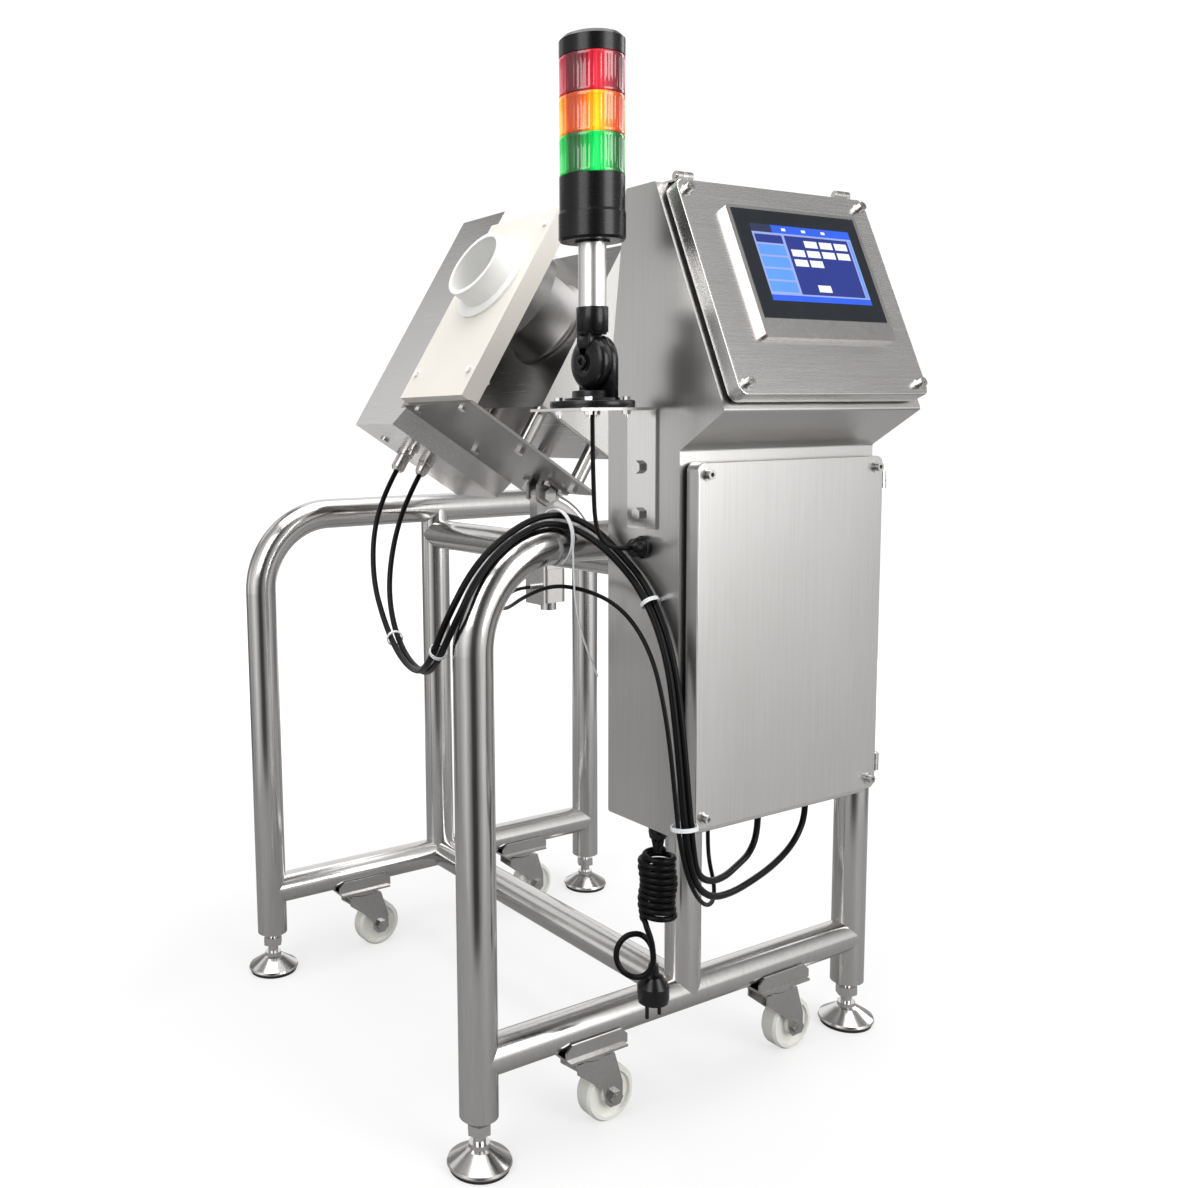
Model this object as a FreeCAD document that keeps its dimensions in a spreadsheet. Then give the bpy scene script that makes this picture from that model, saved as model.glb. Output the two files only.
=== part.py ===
import FreeCAD, Part
import math
import os
import re
import Sketcher
from FreeCAD import Placement, Rotation, Vector

# Free-fall metal detector on a castored tube stand. Millimetres, +X to the right along the
# cabinet's front, +Y to the back, +Z up. The origin is on the floor under the middle of the machine.

doc = FreeCAD.newDocument("free_fall_metal_detector")
sheet = doc.addObject("Spreadsheet::Sheet", "Sizes")
sizes = {}


def size(alias, number, note):
    """Writes one driving dimension into the sheet and returns it."""
    row = len(sizes) + 1
    sheet.set(f"A{row}", alias)
    sheet.set(f"B{row}", str(number))
    sheet.setAlias(f"B{row}", alias)
    sheet.set(f"C{row}", note)
    sizes[alias] = float(number)
    return float(number)


# Stand
stand_y = size("stand_y", 107.5, "middle of the stand, behind the origin")
leg_gap = size("leg_gap", 650, "between leg axes, left to right")
frame_gap = size("frame_gap", 630, "between the front and the rear frame's axes")
tube = size("tube", 48, "outside diameter of the stand's tube")
tube_wall = size("tube_wall", 2, "wall of the stand's tube")
bend = size("bend", 120, "bend radius of the tube's axis")
top_bar_z = size("top_bar_z", 751, "axis of the frames' top bars")
lower_bar_z = size("lower_bar_z", 137, "axis of the lower bars")
cross_bar_z = size("cross_bar_z", 706, "axis of the upper cross bar")
leg_end_z = size("leg_end_z", 66, "lower end of the legs")

# Levelling feet
stud = size("stud", 16, "foot stud diameter")
stud_reach = size("stud_reach", 34, "stud length inside the leg at rest")
bush_length = size("bush_length", 45, "threaded bush in the end of a leg")
thread_gap = size("thread_gap", 0.05, "radial clearance of the stud in its bush")
nut_flats = size("nut_flats", 27, "across the flats of the foot's lock nut")
nut_tall = size("nut_tall", 13, "height of the foot's lock nut")
nut_z = size("nut_z", 44, "underside of the foot's lock nut")
foot_wide = size("foot_wide", 80, "diameter of the foot's base")
foot_tall = size("foot_tall", 27, "height of the foot's base above its pad")
foot_neck = size("foot_neck", 26, "diameter of the base's neck")
pad_thick = size("pad_thick", 5, "rubber pad under the foot")

# Castors
castor_x = size("castor_x", 165, "castor plate from the middle of the bar")
wheel = size("wheel", 75, "castor wheel diameter")
wheel_wide = size("wheel_wide", 27, "castor wheel width")
axle = size("axle", 10, "castor axle diameter")
trail = size("trail", 33, "axle behind the swivel axis")
swivel_pin = size("swivel_pin", 12, "castor swivel pin diameter")
run_gap = size("run_gap", 0.05, "radial clearance of pins and axles")
fork_gap = size("fork_gap", 32, "between the castor fork's arms")
fork_sheet = size("fork_sheet", 3, "castor fork sheet")
fork_top_z = size("fork_top_z", 96, "top of the castor fork")
saddle_long = size("saddle_long", 96, "saddle plate along the bar")
saddle_sheet = size("saddle_sheet", 3, "saddle and castor plate sheet")
saddle_tall = size("saddle_tall", 17, "height of the saddle's folded sides")
face_gap = size("face_gap", 0.3, "gap between faces of parts that move past each other")

# Cabinet and console
cab_x = size("cab_x", -8, "middle of the cabinet, left to right")
cab_wide = size("cab_wide", 310, "cabinet width")
cab_sheet = size("cab_sheet", 2, "cabinet sheet")
cab_gap = size("cab_gap", 21, "between the front frame's tubes and the cabinet's back")
cab_deep = size("cab_deep", 122, "depth of the lower cabinet")
cab_z = size("cab_z", 427, "underside of the cabinet")
neck_z = size("neck_z", 862, "where the console starts to lean out")
console_z = size("console_z", 1152, "top of the console")
console_back_z = size("console_back_z", 915, "where the console's back starts to lean")
console_back_lean = size("console_back_lean", 31, "how far the console's back leans at the top")
display_y = size("display_y", 199, "display door's foot in front of the cabinet's back")
display_z = size("display_z", 935, "display door's lower screws")
display_lean = size("display_lean", 23.7, "display door's lean from upright, degrees")
door_sheet = size("door_sheet", 2, "door sheet")
door_deep = size("door_deep", 18, "depth of a door's folded rim")
door_gap = size("door_gap", 4, "rim of a door to the cabinet's face")
door_corner = size("door_corner", 10, "corner radius of a door")
door_inset = size("door_inset", 7, "cabinet's edge to the door's edge")
door_z = size("door_z", 441, "lower edge of the cabinet door")
door_tall = size("door_tall", 408, "height of the cabinet door")
display_below = size("display_below", 17, "display door below its lower screws")
display_tall = size("display_tall", 254, "height of the display door")
screw_inset = size("screw_inset", 13, "door screw from the door's edge")
screw = size("screw", 6, "door screw diameter")
seal_wide = size("seal_wide", 6, "width of a door seal")
seal_inset = size("seal_inset", 3, "door's edge to the seal")
hinge_pin = size("hinge_pin", 5, "hinge pin diameter")
knuckle = size("knuckle", 11, "hinge knuckle diameter")
knuckle_long = size("knuckle_long", 7, "length of one hinge knuckle")
hmi_wide = size("hmi_wide", 206, "operator panel width")
hmi_tall = size("hmi_tall", 160, "operator panel height")
hmi_low = size("hmi_low", 46, "operator panel's lower edge above the lower screws")
hmi_proud = size("hmi_proud", 7, "operator panel in front of its door")
hmi_back = size("hmi_back", 38, "operator panel behind its door")
glass_wide = size("glass_wide", 194, "operator panel's glass, width")
glass_tall = size("glass_tall", 133, "operator panel's glass, height")

gland_thread = size("gland_thread", 16, "cable gland thread diameter")
side_gland_z = size("side_gland_z", 753, "height of the gland in the cabinet side")
side_gland_in = size("side_gland_in", 65, "side gland in front of the cabinet back")

bracket_low = size("bracket_low", 500, "lower bracket behind the cabinet")
bracket_high = size("bracket_high", 680, "upper bracket behind the cabinet")
bracket_thick = size("bracket_thick", 6, "bracket plate")
bracket_tall = size("bracket_tall", 70, "bracket height")
bolt = size("bolt", 8, "bracket bolt diameter")
plate_gap = size("plate_gap", 14, "mounting plate in front of the cabinet's back")
fold_pin = size("fold_pin", 8, "tower's folding pin diameter")
lug_gap = size("lug_gap", 0.3, "between a tilt lug and the upright")
ring_back = size("ring_back", 120, "coil case up the pipe from the pivot")
inlet_at = size("inlet_at", 240, "inlet plate's face up the pipe from the pivot")
inlet_low = size("inlet_low", 20, "lower edge of the inlet plate")
link_gap = size("link_gap", 8, "radius of the spacers between coil case and electronics box")
sensor_x = size("sensor_x", 0, "air valve below the cross bar")
sensor_y = size("sensor_y", -16, "air valve from the stand's middle")
valve_top = size("valve_top", 677, "top of the air valve's body")
hank_top = size("hank_top", 396, "top of the tied mains lead")
hank_low = size("hank_low", 306, "bottom of the tied mains lead")
hank_wide = size("hank_wide", 48, "width of the tied mains lead")
plug_top = size("plug_top", 254, "top of the mains plug")
hole_inset = size("hole_inset", 24, "door's edge to the cabinet's opening")
hinge_out = size("hinge_out", 10, "hinge axis beyond a door's edge and behind its face")
hinge_leaf = size("hinge_leaf", 2, "hinge leaf sheet")
door_hinge_low = size("door_hinge_low", 470, "lower hinge of the cabinet door")
door_hinge_high = size("door_hinge_high", 820, "upper hinge of the cabinet door")
display_hinge_x = size("display_hinge_x", 125, "display door hinges from the door's middle")
hmi_x = size("hmi_x", 9, "operator panel to the right of the cabinet's middle")

# Signal tower
tower_out = size("tower_out", 72, "tower axis beside the cabinet")
tower_y = size("tower_y", -422, "tower axis in front of the stand's middle")
strap_wide = size("strap_wide", 48, "width of the tower's bracket")
strap_low = size("strap_low", 774, "lower end of the tower's bracket")
shelf_z = size("shelf_z", 909, "top of the tower's bracket")
strap_sheet = size("strap_sheet", 3, "tower bracket sheet")
flange_wide = size("flange_wide", 92, "tower flange diameter")
flange_thick = size("flange_thick", 8, "tower flange thickness")
fold_up = size("fold_up", 49, "tower's folding pin above its shelf")
fold_wide = size("fold_wide", 26, "width of the folding joint")
fold_deep = size("fold_deep", 58, "diameter of the folding joint")
fold_ear = size("fold_ear", 9, "thickness of the foot's ear in the folding joint")
pole = size("pole", 30, "pole diameter")
collar = size("collar", 34.6, "collar at the pole's foot")
collar_up = size("collar_up", 81, "lower end of the collar above the shelf")
pole_up = size("pole_up", 108, "upper end of the collar above the shelf")
base_up = size("base_up", 176.5, "underside of the tower's base above the shelf")
lamp = size("lamp", 70, "lamp diameter")
lamp_wall = size("lamp_wall", 2.5, "lamp lens wall")
lamp_up = size("lamp_up", 243.5, "underside of the lowest lamp above the shelf")
lamp_tall = size("lamp_tall", 40.4, "height of one lamp")
cap_tall = size("cap_tall", 21, "height of the tower's cap")

# Tilting head, in its own frame: X down the pipe, Y to the back, Z square to the pipe
head_lean = size("head_lean", 32.5, "slope of the pipe, degrees below level")
pivot_z = size("pivot_z", 787, "tilt pivot above the floor")
pivot_pin = size("pivot_pin", 12, "tilt pivot pin diameter")
upright_wide = size("upright_wide", 30, "width of the upright")
upright_thick = size("upright_thick", 18, "thickness of the upright")
lug_thick = size("lug_thick", 6, "thickness of a tilt lug")
lug_wide = size("lug_wide", 44, "width of a tilt lug")
plate_up = size("plate_up", 16, "underside of the support plate above the pivot")
plate_thick = size("plate_thick", 4, "support plate")
plate_back = size("plate_back", 227, "support plate up the pipe from the pivot")
plate_front = size("plate_front", 24, "support plate down the pipe from the pivot")
plate_deep = size("plate_deep", 186, "support plate, front to back")
standoff = size("standoff", 22, "standoff diameter")
standoff_tall = size("standoff_tall", 57, "standoff length")
standoff_y = size("standoff_y", 58, "standoff from the head's middle, front to back")
standoff_x = size("standoff_x", 55, "standoff from the coil case's middle, along the pipe")
case_long = size("case_long", 144, "coil case along the pipe")
case_deep = size("case_deep", 170, "coil case, front to back")
case_tall = size("case_tall", 273, "coil case height")
case_sheet = size("case_sheet", 3, "coil case wall")
pipe_up = size("pipe_up", 219, "pipe axis above the pivot")
pipe_outer = size("pipe_outer", 104, "pipe outside diameter")
pipe_inner = size("pipe_inner", 90, "pipe bore")
pipe_spigot = size("pipe_spigot", 102, "turned end of the pipe, for a hose")
pipe_mouth = size("pipe_mouth", 36, "pipe in front of the inlet plate")
pipe_exit = size("pipe_exit", 60, "pipe beyond the coil case")
coil_ring = size("coil_ring", 128, "outside diameter of the coil windings")
coil_wide = size("coil_wide", 12, "width of one coil winding")
coil_step = size("coil_step", 38, "between coil windings")
inlet_thick = size("inlet_thick", 18, "white inlet plate")
inlet_deep = size("inlet_deep", 170, "white inlet plate, front to back")
inlet_tall = size("inlet_tall", 305, "white inlet plate height")
backing_thick = size("backing_thick", 10, "grey backing plate")
backing_rise = size("backing_rise", 13, "grey backing plate above the white one")
boss_wide = size("boss_wide", 136, "raised ring around the pipe on the inlet plate")
boss_rise = size("boss_rise", 4, "height of the raised ring")
flange_ring = size("flange_ring", 150, "grey flange behind the backing plate")
flange_long = size("flange_long", 26, "length of the grey flange")
ebox_y = size("ebox_y", 110, "electronics box's front face behind the head's middle")
ebox_deep = size("ebox_deep", 120, "electronics box, front to back")
ebox_long = size("ebox_long", 220, "electronics box along the pipe")
ebox_tall = size("ebox_tall", 383, "electronics box height")
ebox_drop = size("ebox_drop", 12, "electronics box below the pivot")
ebox_sheet = size("ebox_sheet", 2, "electronics box sheet")
cover_rise = size("cover_rise", 10, "depth of the electronics box's cover")
cover_inset = size("cover_inset", 12, "cover inside the box's outline")

# Cables
cable = size("cable", 8, "head cable diameter")
lead = size("lead", 7, "mains lead diameter")
wire = size("wire", 5, "tower and sensor cable diameter")

doc.recompute()
alias_word = re.compile(r"\b(" + "|".join(sorted(sizes, key=len, reverse=True)) + r")\b")


def in_sheet(text):
    """An expression with each alias written as the sheet's cell."""
    return alias_word.sub(r"Sizes.\1", str(text))


def worth(text):
    """The number that an expression gives now."""
    answer = sheet.evalExpression(in_sheet(text))
    return float(getattr(answer, "Value", answer))


def tie(item, prop, text):
    """Binds one property to an expression."""
    item.setExpression(prop, in_sheet(text))


def put(item, corner):
    """Binds an object's place to three expressions."""
    for letter, text in zip("xyz", corner):
        tie(item, f"Placement.Base.{letter}", text)
    return item


TURN = {
    "Z": Rotation(),
    "X": Rotation(Vector(0, 1, 0), 90),
    "Y": Rotation(Vector(1, 0, 0), -90),
    "-X": Rotation(Vector(0, 1, 0), -90),
    "-Y": Rotation(Vector(1, 0, 0), 90),
    "-Z": Rotation(Vector(1, 0, 0), 180),
}


def box(name, long, corner):
    """A block from its lowest corner."""
    item = doc.addObject("Part::Box", name)
    for prop, text in zip(("Length", "Width", "Height"), long):
        tie(item, prop, text)
    return put(item, corner)


def rod(name, radius, long, start, axis="Z"):
    """A round bar from the middle of its first end."""
    item = doc.addObject("Part::Cylinder", name)
    tie(item, "Radius", radius)
    tie(item, "Height", long)
    item.Placement = Placement(Vector(), TURN[axis])
    return put(item, start)


def hexagon(name, flats, long, start, axis="Z"):
    """A six-sided bar from the middle of its first end."""
    item = doc.addObject("Part::Prism", name)
    item.Polygon = 6
    tie(item, "Circumradius", f"({flats}) / 2 / cos(30deg)")
    tie(item, "Height", long)
    item.Placement = Placement(Vector(), TURN[axis])
    return put(item, start)


def fuse(name, *items):
    """Joins solids into one."""
    item = doc.addObject("Part::MultiFuse", name)
    item.Shapes = list(items)
    return item


def cut(name, base, *tools):
    """Takes the tools away from the base."""
    item = doc.addObject("Part::Cut", name)
    item.Base = base
    item.Tool = tools[0] if len(tools) == 1 else fuse(name + "_tools", *tools)
    return item


def group(name, items):
    """Separate solids that share one node."""
    item = doc.addObject("Part::Compound", name)
    item.Links = list(items)
    return item


def ring(name, outer, inner, long, start, axis="Z"):
    """A round tube."""
    return cut(name, rod(name + "_outer", outer, long, start, axis),
               rod(name + "_inner", inner, long, start, axis))


def plane_of(body, role):
    """One of a body's own origin planes."""
    return [item for item in body.Origin.OriginFeatures if item.Role == role][0]


def outline(body, name, role, points):
    """A closed sketch whose every corner is bound to the sheet."""
    sketch = body.newObject("Sketcher::SketchObject", name)
    sketch.AttachmentSupport = [(plane_of(body, role), "")]
    sketch.MapMode = "FlatFace"
    spots = [Vector(worth(a), worth(b), 0) for a, b in points]
    count = len(spots)
    for i in range(count):
        sketch.addGeometry(Part.LineSegment(spots[i], spots[(i + 1) % count]), False)
    for i in range(count):
        sketch.addConstraint(Sketcher.Constraint("Coincident", i, 2, (i + 1) % count, 1))
    for i, (across, up) in enumerate(points):
        for kind, number, text in (("DistanceX", spots[i].x, across), ("DistanceY", spots[i].y, up)):
            index = sketch.addConstraint(Sketcher.Constraint(kind, -1, 1, i, 1, number))
            tie(sketch, f"Constraints[{index}]", text)
    return sketch


def slab(name, role, points, thick, middle=(0, 0, 0)):
    """A sketched outline made thick to both sides of its plane."""
    body = doc.addObject("PartDesign::Body", name)
    sketch = outline(body, name + "_outline", role, points)
    pad = body.newObject("PartDesign::Pad", name + "_pad")
    pad.Profile = sketch
    tie(pad, "Length", thick)
    pad.Midplane = True
    return put(body, middle)


def turned(name, points, start, axis="Z"):
    """A half outline of (radius, height) points turned about its axis."""
    body = doc.addObject("PartDesign::Body", name)
    sketch = outline(body, name + "_outline", "XZ_Plane", points)
    turn = body.newObject("PartDesign::Revolution", name + "_turn")
    turn.Profile = sketch
    turn.ReferenceAxis = (sketch, ["V_Axis"])
    turn.Angle = 360
    body.Placement = Placement(Vector(), TURN[axis])
    return put(body, start)


def edges_along(shape, direction, low=None, high=None):
    """Numbers of the straight edges along a direction inside a box of limits."""
    found = []
    for number, edge in enumerate(shape.Edges, 1):
        if len(edge.Vertexes) < 2:
            continue
        step = edge.Vertexes[1].Point - edge.Vertexes[0].Point
        if step.Length < 1e-6 or abs(abs(step.normalize() * direction) - 1) > 1e-6:
            continue
        spot = edge.BoundBox.Center
        inside = all((low is None or a <= b + 1e-6) for a, b in zip(low or spot, spot))
        inside = inside and all((high is None or b <= a + 1e-6) for a, b in zip(high or spot, spot))
        if inside:
            found.append(number)
    return found


def soften(name, item, numbers, radius):
    """Rounds the numbered edges."""
    rounded = doc.addObject("Part::Fillet", name)
    rounded.Base = item
    rounded.Edges = [(number, radius, radius) for number in numbers]
    return rounded


def elbow(name, radius, middle, side):
    """A quarter bend in the plane of a frame, towards the right or the left leg."""
    item = doc.addObject("Part::Torus", name)
    tie(item, "Radius1", "bend")
    tie(item, "Radius2", radius)
    item.Angle1 = -180
    item.Angle2 = 180
    item.Angle3 = 90
    upright = Rotation(Vector(1, 0, 0), 90)
    item.Placement = Placement(Vector(), upright if side > 0 else Rotation(Vector(0, 1, 0), -90) * upright)
    return put(item, middle)


nodes = {}


def node(label, item, place=None):
    """Names a finished sub-part."""
    item.Label = label
    if place is not None:
        item.Placement = place
    nodes[label] = item
    return item


cab_back = "stand_y - frame_gap / 2 - tube / 2 - cab_gap"

def slanted(item, axis, angle, corner):
    """Turns an object about one axis and moves it, both bound to the sheet."""
    item.Placement = Placement(Vector(), Rotation(axis, 10))
    tie(item, "Placement.Rotation.Angle", angle)
    return put(item, corner)


def on_display(item):
    """From the display door's frame: X across, Y into the cabinet from its face, Z up its face."""
    return slanted(item, Vector(-1, 0, 0), "display_lean * 1deg",
                   ("cab_x", f"{cab_back} - display_y", "display_z"))


def on_head(item):
    """From the head's frame: X down the pipe, Y to the rear, Z square to the pipe."""
    return slanted(item, Vector(0, 1, 0), "head_lean * 1deg", ("0", "stand_y", "pivot_z"))


# Stand: two bent frames, lower bars, middle posts and cross bars, all of one tube

SIDES = ((1, "left", -1), (2, "right", 1))
FRAMES = (("rear", 1), ("front", -1))


def frame_y(end):
    """The plane of the rear or the front frame."""
    return f"stand_y + {end} * frame_gap / 2"


def bent_bar(name, radius, end):
    """A leg, a bend, the top bar, a bend and a leg as one round bar."""
    y = frame_y(end)
    parts = []
    for number, side, sign in SIDES:
        parts.append(rod(f"{name}_leg_{side}", radius, "top_bar_z - bend - leg_end_z",
                         (f"{sign} * leg_gap / 2", y, "leg_end_z")))
        parts.append(elbow(f"{name}_elbow_{side}", radius,
                           (f"{sign} * (leg_gap / 2 - bend)", y, "top_bar_z - bend"), sign))
    parts.append(rod(f"{name}_top", radius, "leg_gap - 2 * bend",
                     ("-leg_gap / 2 + bend", y, "top_bar_z"), "X"))
    return fuse(name, *parts)


def leg_tool(name, sign, end):
    """The round outside of one leg, for the saddle cuts of what meets it."""
    return rod(name, "tube / 2", "top_bar_z", (f"{sign} * leg_gap / 2", frame_y(end), "0"))


def bar_tool(name, end, height):
    """The round outside of a bar along X."""
    return rod(name, "tube / 2", "leg_gap", ("-leg_gap / 2", frame_y(end), height), "X")


def post_tool(name, end):
    """The round outside of a middle post."""
    return rod(name, "tube / 2", "top_bar_z - lower_bar_z", ("0", frame_y(end), "lower_bar_z"))


low_bars = []
middle_pieces = []
for place, end in FRAMES:
    hollow = cut(f"{place}_bent_tube", bent_bar(f"{place}_bent_outer", "tube / 2", end),
                 bent_bar(f"{place}_bent_inner", "tube / 2 - tube_wall", end))
    bushes = []
    for number, side, sign in SIDES:
        bushes.append(ring(f"{place}_bush_{side}", "tube / 2 - tube_wall", "stud / 2 + thread_gap",
                           "bush_length", (f"{sign} * leg_gap / 2", frame_y(end), "leg_end_z")))
    node(f"{place}_u_frame", fuse(f"{place}_u_frame", hollow, *bushes))
    bar = ring(f"{place}_lower_tube", "tube / 2", "tube / 2 - tube_wall", "leg_gap",
               ("-leg_gap / 2", frame_y(end), "lower_bar_z"), "X")
    low_bars.append(cut(f"{place}_lower_bar", bar, leg_tool(f"{place}_cope_a", -1, end),
                        leg_tool(f"{place}_cope_b", 1, end)))
    post = ring(f"{place}_post_tube", "tube / 2", "tube / 2 - tube_wall", "top_bar_z - lower_bar_z",
                ("0", frame_y(end), "lower_bar_z"))
    middle_pieces.append(cut(f"{place}_mid_post", post, bar_tool(f"{place}_cope_c", end, "lower_bar_z"),
                             bar_tool(f"{place}_cope_d", end, "top_bar_z")))

for level, height in (("lower", "lower_bar_z"), ("upper", "cross_bar_z")):
    bar = ring(f"{level}_cross_tube", "tube / 2", "tube / 2 - tube_wall", "frame_gap",
               ("0", "stand_y - frame_gap / 2", height), "Y")
    tools = [post_tool(f"{level}_cope_{place}", end) for place, end in FRAMES]
    if level == "lower":
        tools += [bar_tool(f"{level}_cope_bar_{place}", end, height) for place, end in FRAMES]
    pieces = low_bars if level == "lower" else middle_pieces
    pieces.append(cut(f"{level}_cross_bar", bar, *tools))
node("lower_bars", group("lower_bars", low_bars))

# Levelling feet, screwed into the legs: stud, lock nut and base in one solid, rubber pad in another

CORNERS = ((1, -1, -1), (2, 1, -1), (3, -1, 1), (4, 1, 1))
foot_outline = (("0", "pad_thick"), ("foot_wide / 2 - 1", "pad_thick"), ("foot_wide / 2", "pad_thick + 2"),
                ("foot_wide / 2 - 1", "pad_thick + 5"), ("foot_neck / 2 + 4", "pad_thick + foot_tall * 0.72"),
                ("foot_neck / 2", "pad_thick + foot_tall * 0.8"), ("foot_neck / 2", "pad_thick + foot_tall"),
                ("0", "pad_thick + foot_tall"))
pad_outline = (("0", "0"), ("foot_wide / 2 - 3", "0"), ("foot_wide / 2 - 1.5", "pad_thick"), ("0", "pad_thick"))
for number, sign, end in CORNERS:
    spot = (f"{sign} * leg_gap / 2", frame_y(end))
    base = turned(f"foot_base_{number}", foot_outline, (*spot, "0"))
    screw_bar = rod(f"foot_stud_{number}", "stud / 2", "leg_end_z + stud_reach - pad_thick - foot_tall / 2",
                    (*spot, "pad_thick + foot_tall / 2"))
    nut = hexagon(f"foot_nut_{number}", "nut_flats", "nut_tall", (*spot, "nut_z"))
    metal = fuse(f"foot_metal_{number}", base, screw_bar, nut)
    pad = turned(f"foot_pad_{number}", pad_outline, (*spot, "0"))
    node(f"levelling_foot_{number}", group(f"levelling_foot_{number}", (metal, pad)))

# Castors: a saddle and swivel plate under the bar, a fork with its axle bolt, and a wheel

under_bar = "lower_bar_z - tube / 2"
plate_z = "lower_bar_z - tube / 2 - 2 * saddle_sheet"
race_outline = (("0", "fork_top_z - fork_sheet - 6"), ("swivel_pin / 2 + 4", "fork_top_z - fork_sheet - 6"),
                ("swivel_pin / 2 + 4", "fork_top_z - fork_sheet - face_gap"),
                ("swivel_pin / 2", "fork_top_z - fork_sheet - face_gap"),
                ("swivel_pin / 2", "fork_top_z + 2"), ("24", "fork_top_z + 2"), ("28", "fork_top_z + 5"),
                ("28", plate_z), ("0", plate_z))
saddle_side = (("-saddle_long / 2", under_bar), ("saddle_long / 2", under_bar),
               ("saddle_long / 2", f"{under_bar} + saddle_tall / 2"),
               ("saddle_long / 2 - 9", f"{under_bar} + saddle_tall"),
               ("-saddle_long / 2 + 9", f"{under_bar} + saddle_tall"),
               ("-saddle_long / 2", f"{under_bar} + saddle_tall / 2"))
fork_side = (("-24", "fork_top_z"), ("34", "fork_top_z"), ("trail + 14", "wheel / 2 + 16"),
             ("trail + 14", "wheel / 2 - 6"), ("trail + 6", "wheel / 2 - 14"), ("trail - 6", "wheel / 2 - 14"),
             ("trail - 14", "wheel / 2 - 6"), ("trail - 17", "wheel / 2 + 14"), ("-24", "fork_top_z - 14"))
wheel_outline = (("axle / 2 + run_gap", "-fork_gap / 2 + face_gap"), ("13", "-fork_gap / 2 + face_gap"),
                 ("14", "-wheel_wide / 2 + 4"), ("wheel / 2 - 9", "-wheel_wide / 2 + 4"),
                 ("wheel / 2 - 7", "-wheel_wide / 2"), ("wheel / 2 - 3", "-wheel_wide / 2"),
                 ("wheel / 2", "-wheel_wide / 2 + 4"), ("wheel / 2", "wheel_wide / 2 - 4"),
                 ("wheel / 2 - 3", "wheel_wide / 2"), ("wheel / 2 - 7", "wheel_wide / 2"),
                 ("wheel / 2 - 9", "wheel_wide / 2 - 4"), ("14", "wheel_wide / 2 - 4"),
                 ("13", "fork_gap / 2 - face_gap"), ("axle / 2 + run_gap", "fork_gap / 2 - face_gap"))
castor_mounts = []
for number, sign, end in CORNERS:
    cx = f"{sign} * castor_x"
    cy = frame_y(end)
    tag = f"castor_{number}"
    floor_sheet = box(f"{tag}_saddle_floor", ("saddle_long", "tube + 2 * saddle_sheet", "saddle_sheet"),
                      (f"{cx} - saddle_long / 2", f"{cy} - tube / 2 - saddle_sheet", f"{under_bar} - saddle_sheet"))
    walls = [slab(f"{tag}_saddle_{face}", "XZ_Plane", saddle_side, "saddle_sheet",
                  (cx, f"{cy} + {face_sign} * (tube / 2 + saddle_sheet / 2)", "0"))
             for face, face_sign in (("front", -1), ("back", 1))]
    castor_mounts.append(fuse(f"{tag}_saddle", floor_sheet, *walls))
    plate = box(f"{tag}_plate_sheet", ("saddle_long - 6", "tube + 16", "saddle_sheet"),
                (f"{cx} - saddle_long / 2 + 3", f"{cy} - tube / 2 - 8", plate_z))
    race = turned(f"{tag}_race", race_outline, (cx, cy, "0"))
    castor_mounts.append(fuse(f"{tag}_plate", plate, race))
    head_sheet = box(f"{tag}_fork_head", ("58", "fork_gap + 2 * fork_sheet", "fork_sheet"),
                     (f"{cx} - 24", f"{cy} - fork_gap / 2 - fork_sheet", "fork_top_z - fork_sheet"))
    disc = rod(f"{tag}_fork_disc", "24", "2 - face_gap", (cx, cy, "fork_top_z"))
    arms = [slab(f"{tag}_arm_{face}", "XZ_Plane", fork_side, "fork_sheet",
                 (cx, f"{cy} + {face_sign} * (fork_gap / 2 + fork_sheet / 2)", "0"))
            for face, face_sign in (("front", -1), ("back", 1))]
    pin_hole = rod(f"{tag}_pin_hole", "swivel_pin / 2 + run_gap", "20", (cx, cy, "fork_top_z - 10"))
    axle_x = f"{cx} + trail"
    axle_hole = rod(f"{tag}_axle_hole", "axle / 2", "fork_gap + 20",
                    (axle_x, f"{cy} - fork_gap / 2 - 10", "wheel / 2"), "Y")
    fork = cut(f"{tag}_yoke", fuse(f"{tag}_yoke_blank", head_sheet, disc, *arms), pin_hole, axle_hole)
    shank = rod(f"{tag}_axle_shank", "axle / 2", "fork_gap + 2 * fork_sheet + 14",
                (axle_x, f"{cy} - fork_gap / 2 - fork_sheet - 7", "wheel / 2"), "Y")
    bolt_head = hexagon(f"{tag}_axle_head", "axle * 1.7", "6.5",
                        (axle_x, f"{cy} - fork_gap / 2 - fork_sheet - 6.5", "wheel / 2"), "Y")
    bolt_nut = hexagon(f"{tag}_axle_nut", "axle * 1.7", "6.5",
                       (axle_x, f"{cy} + fork_gap / 2 + fork_sheet", "wheel / 2"), "Y")
    bolt = fuse(f"{tag}_axle", shank, bolt_head, bolt_nut)
    node(f"castor_fork_{number}", group(f"castor_fork_{number}", (fork, bolt)))
    node(f"castor_wheel_{number}", turned(f"castor_wheel_{number}", wheel_outline, (axle_x, cy, "wheel / 2"), "Y"))
node("castor_mounts", group("castor_mounts", castor_mounts))

# Cabinet and console: one folded shell, open behind each door

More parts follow.
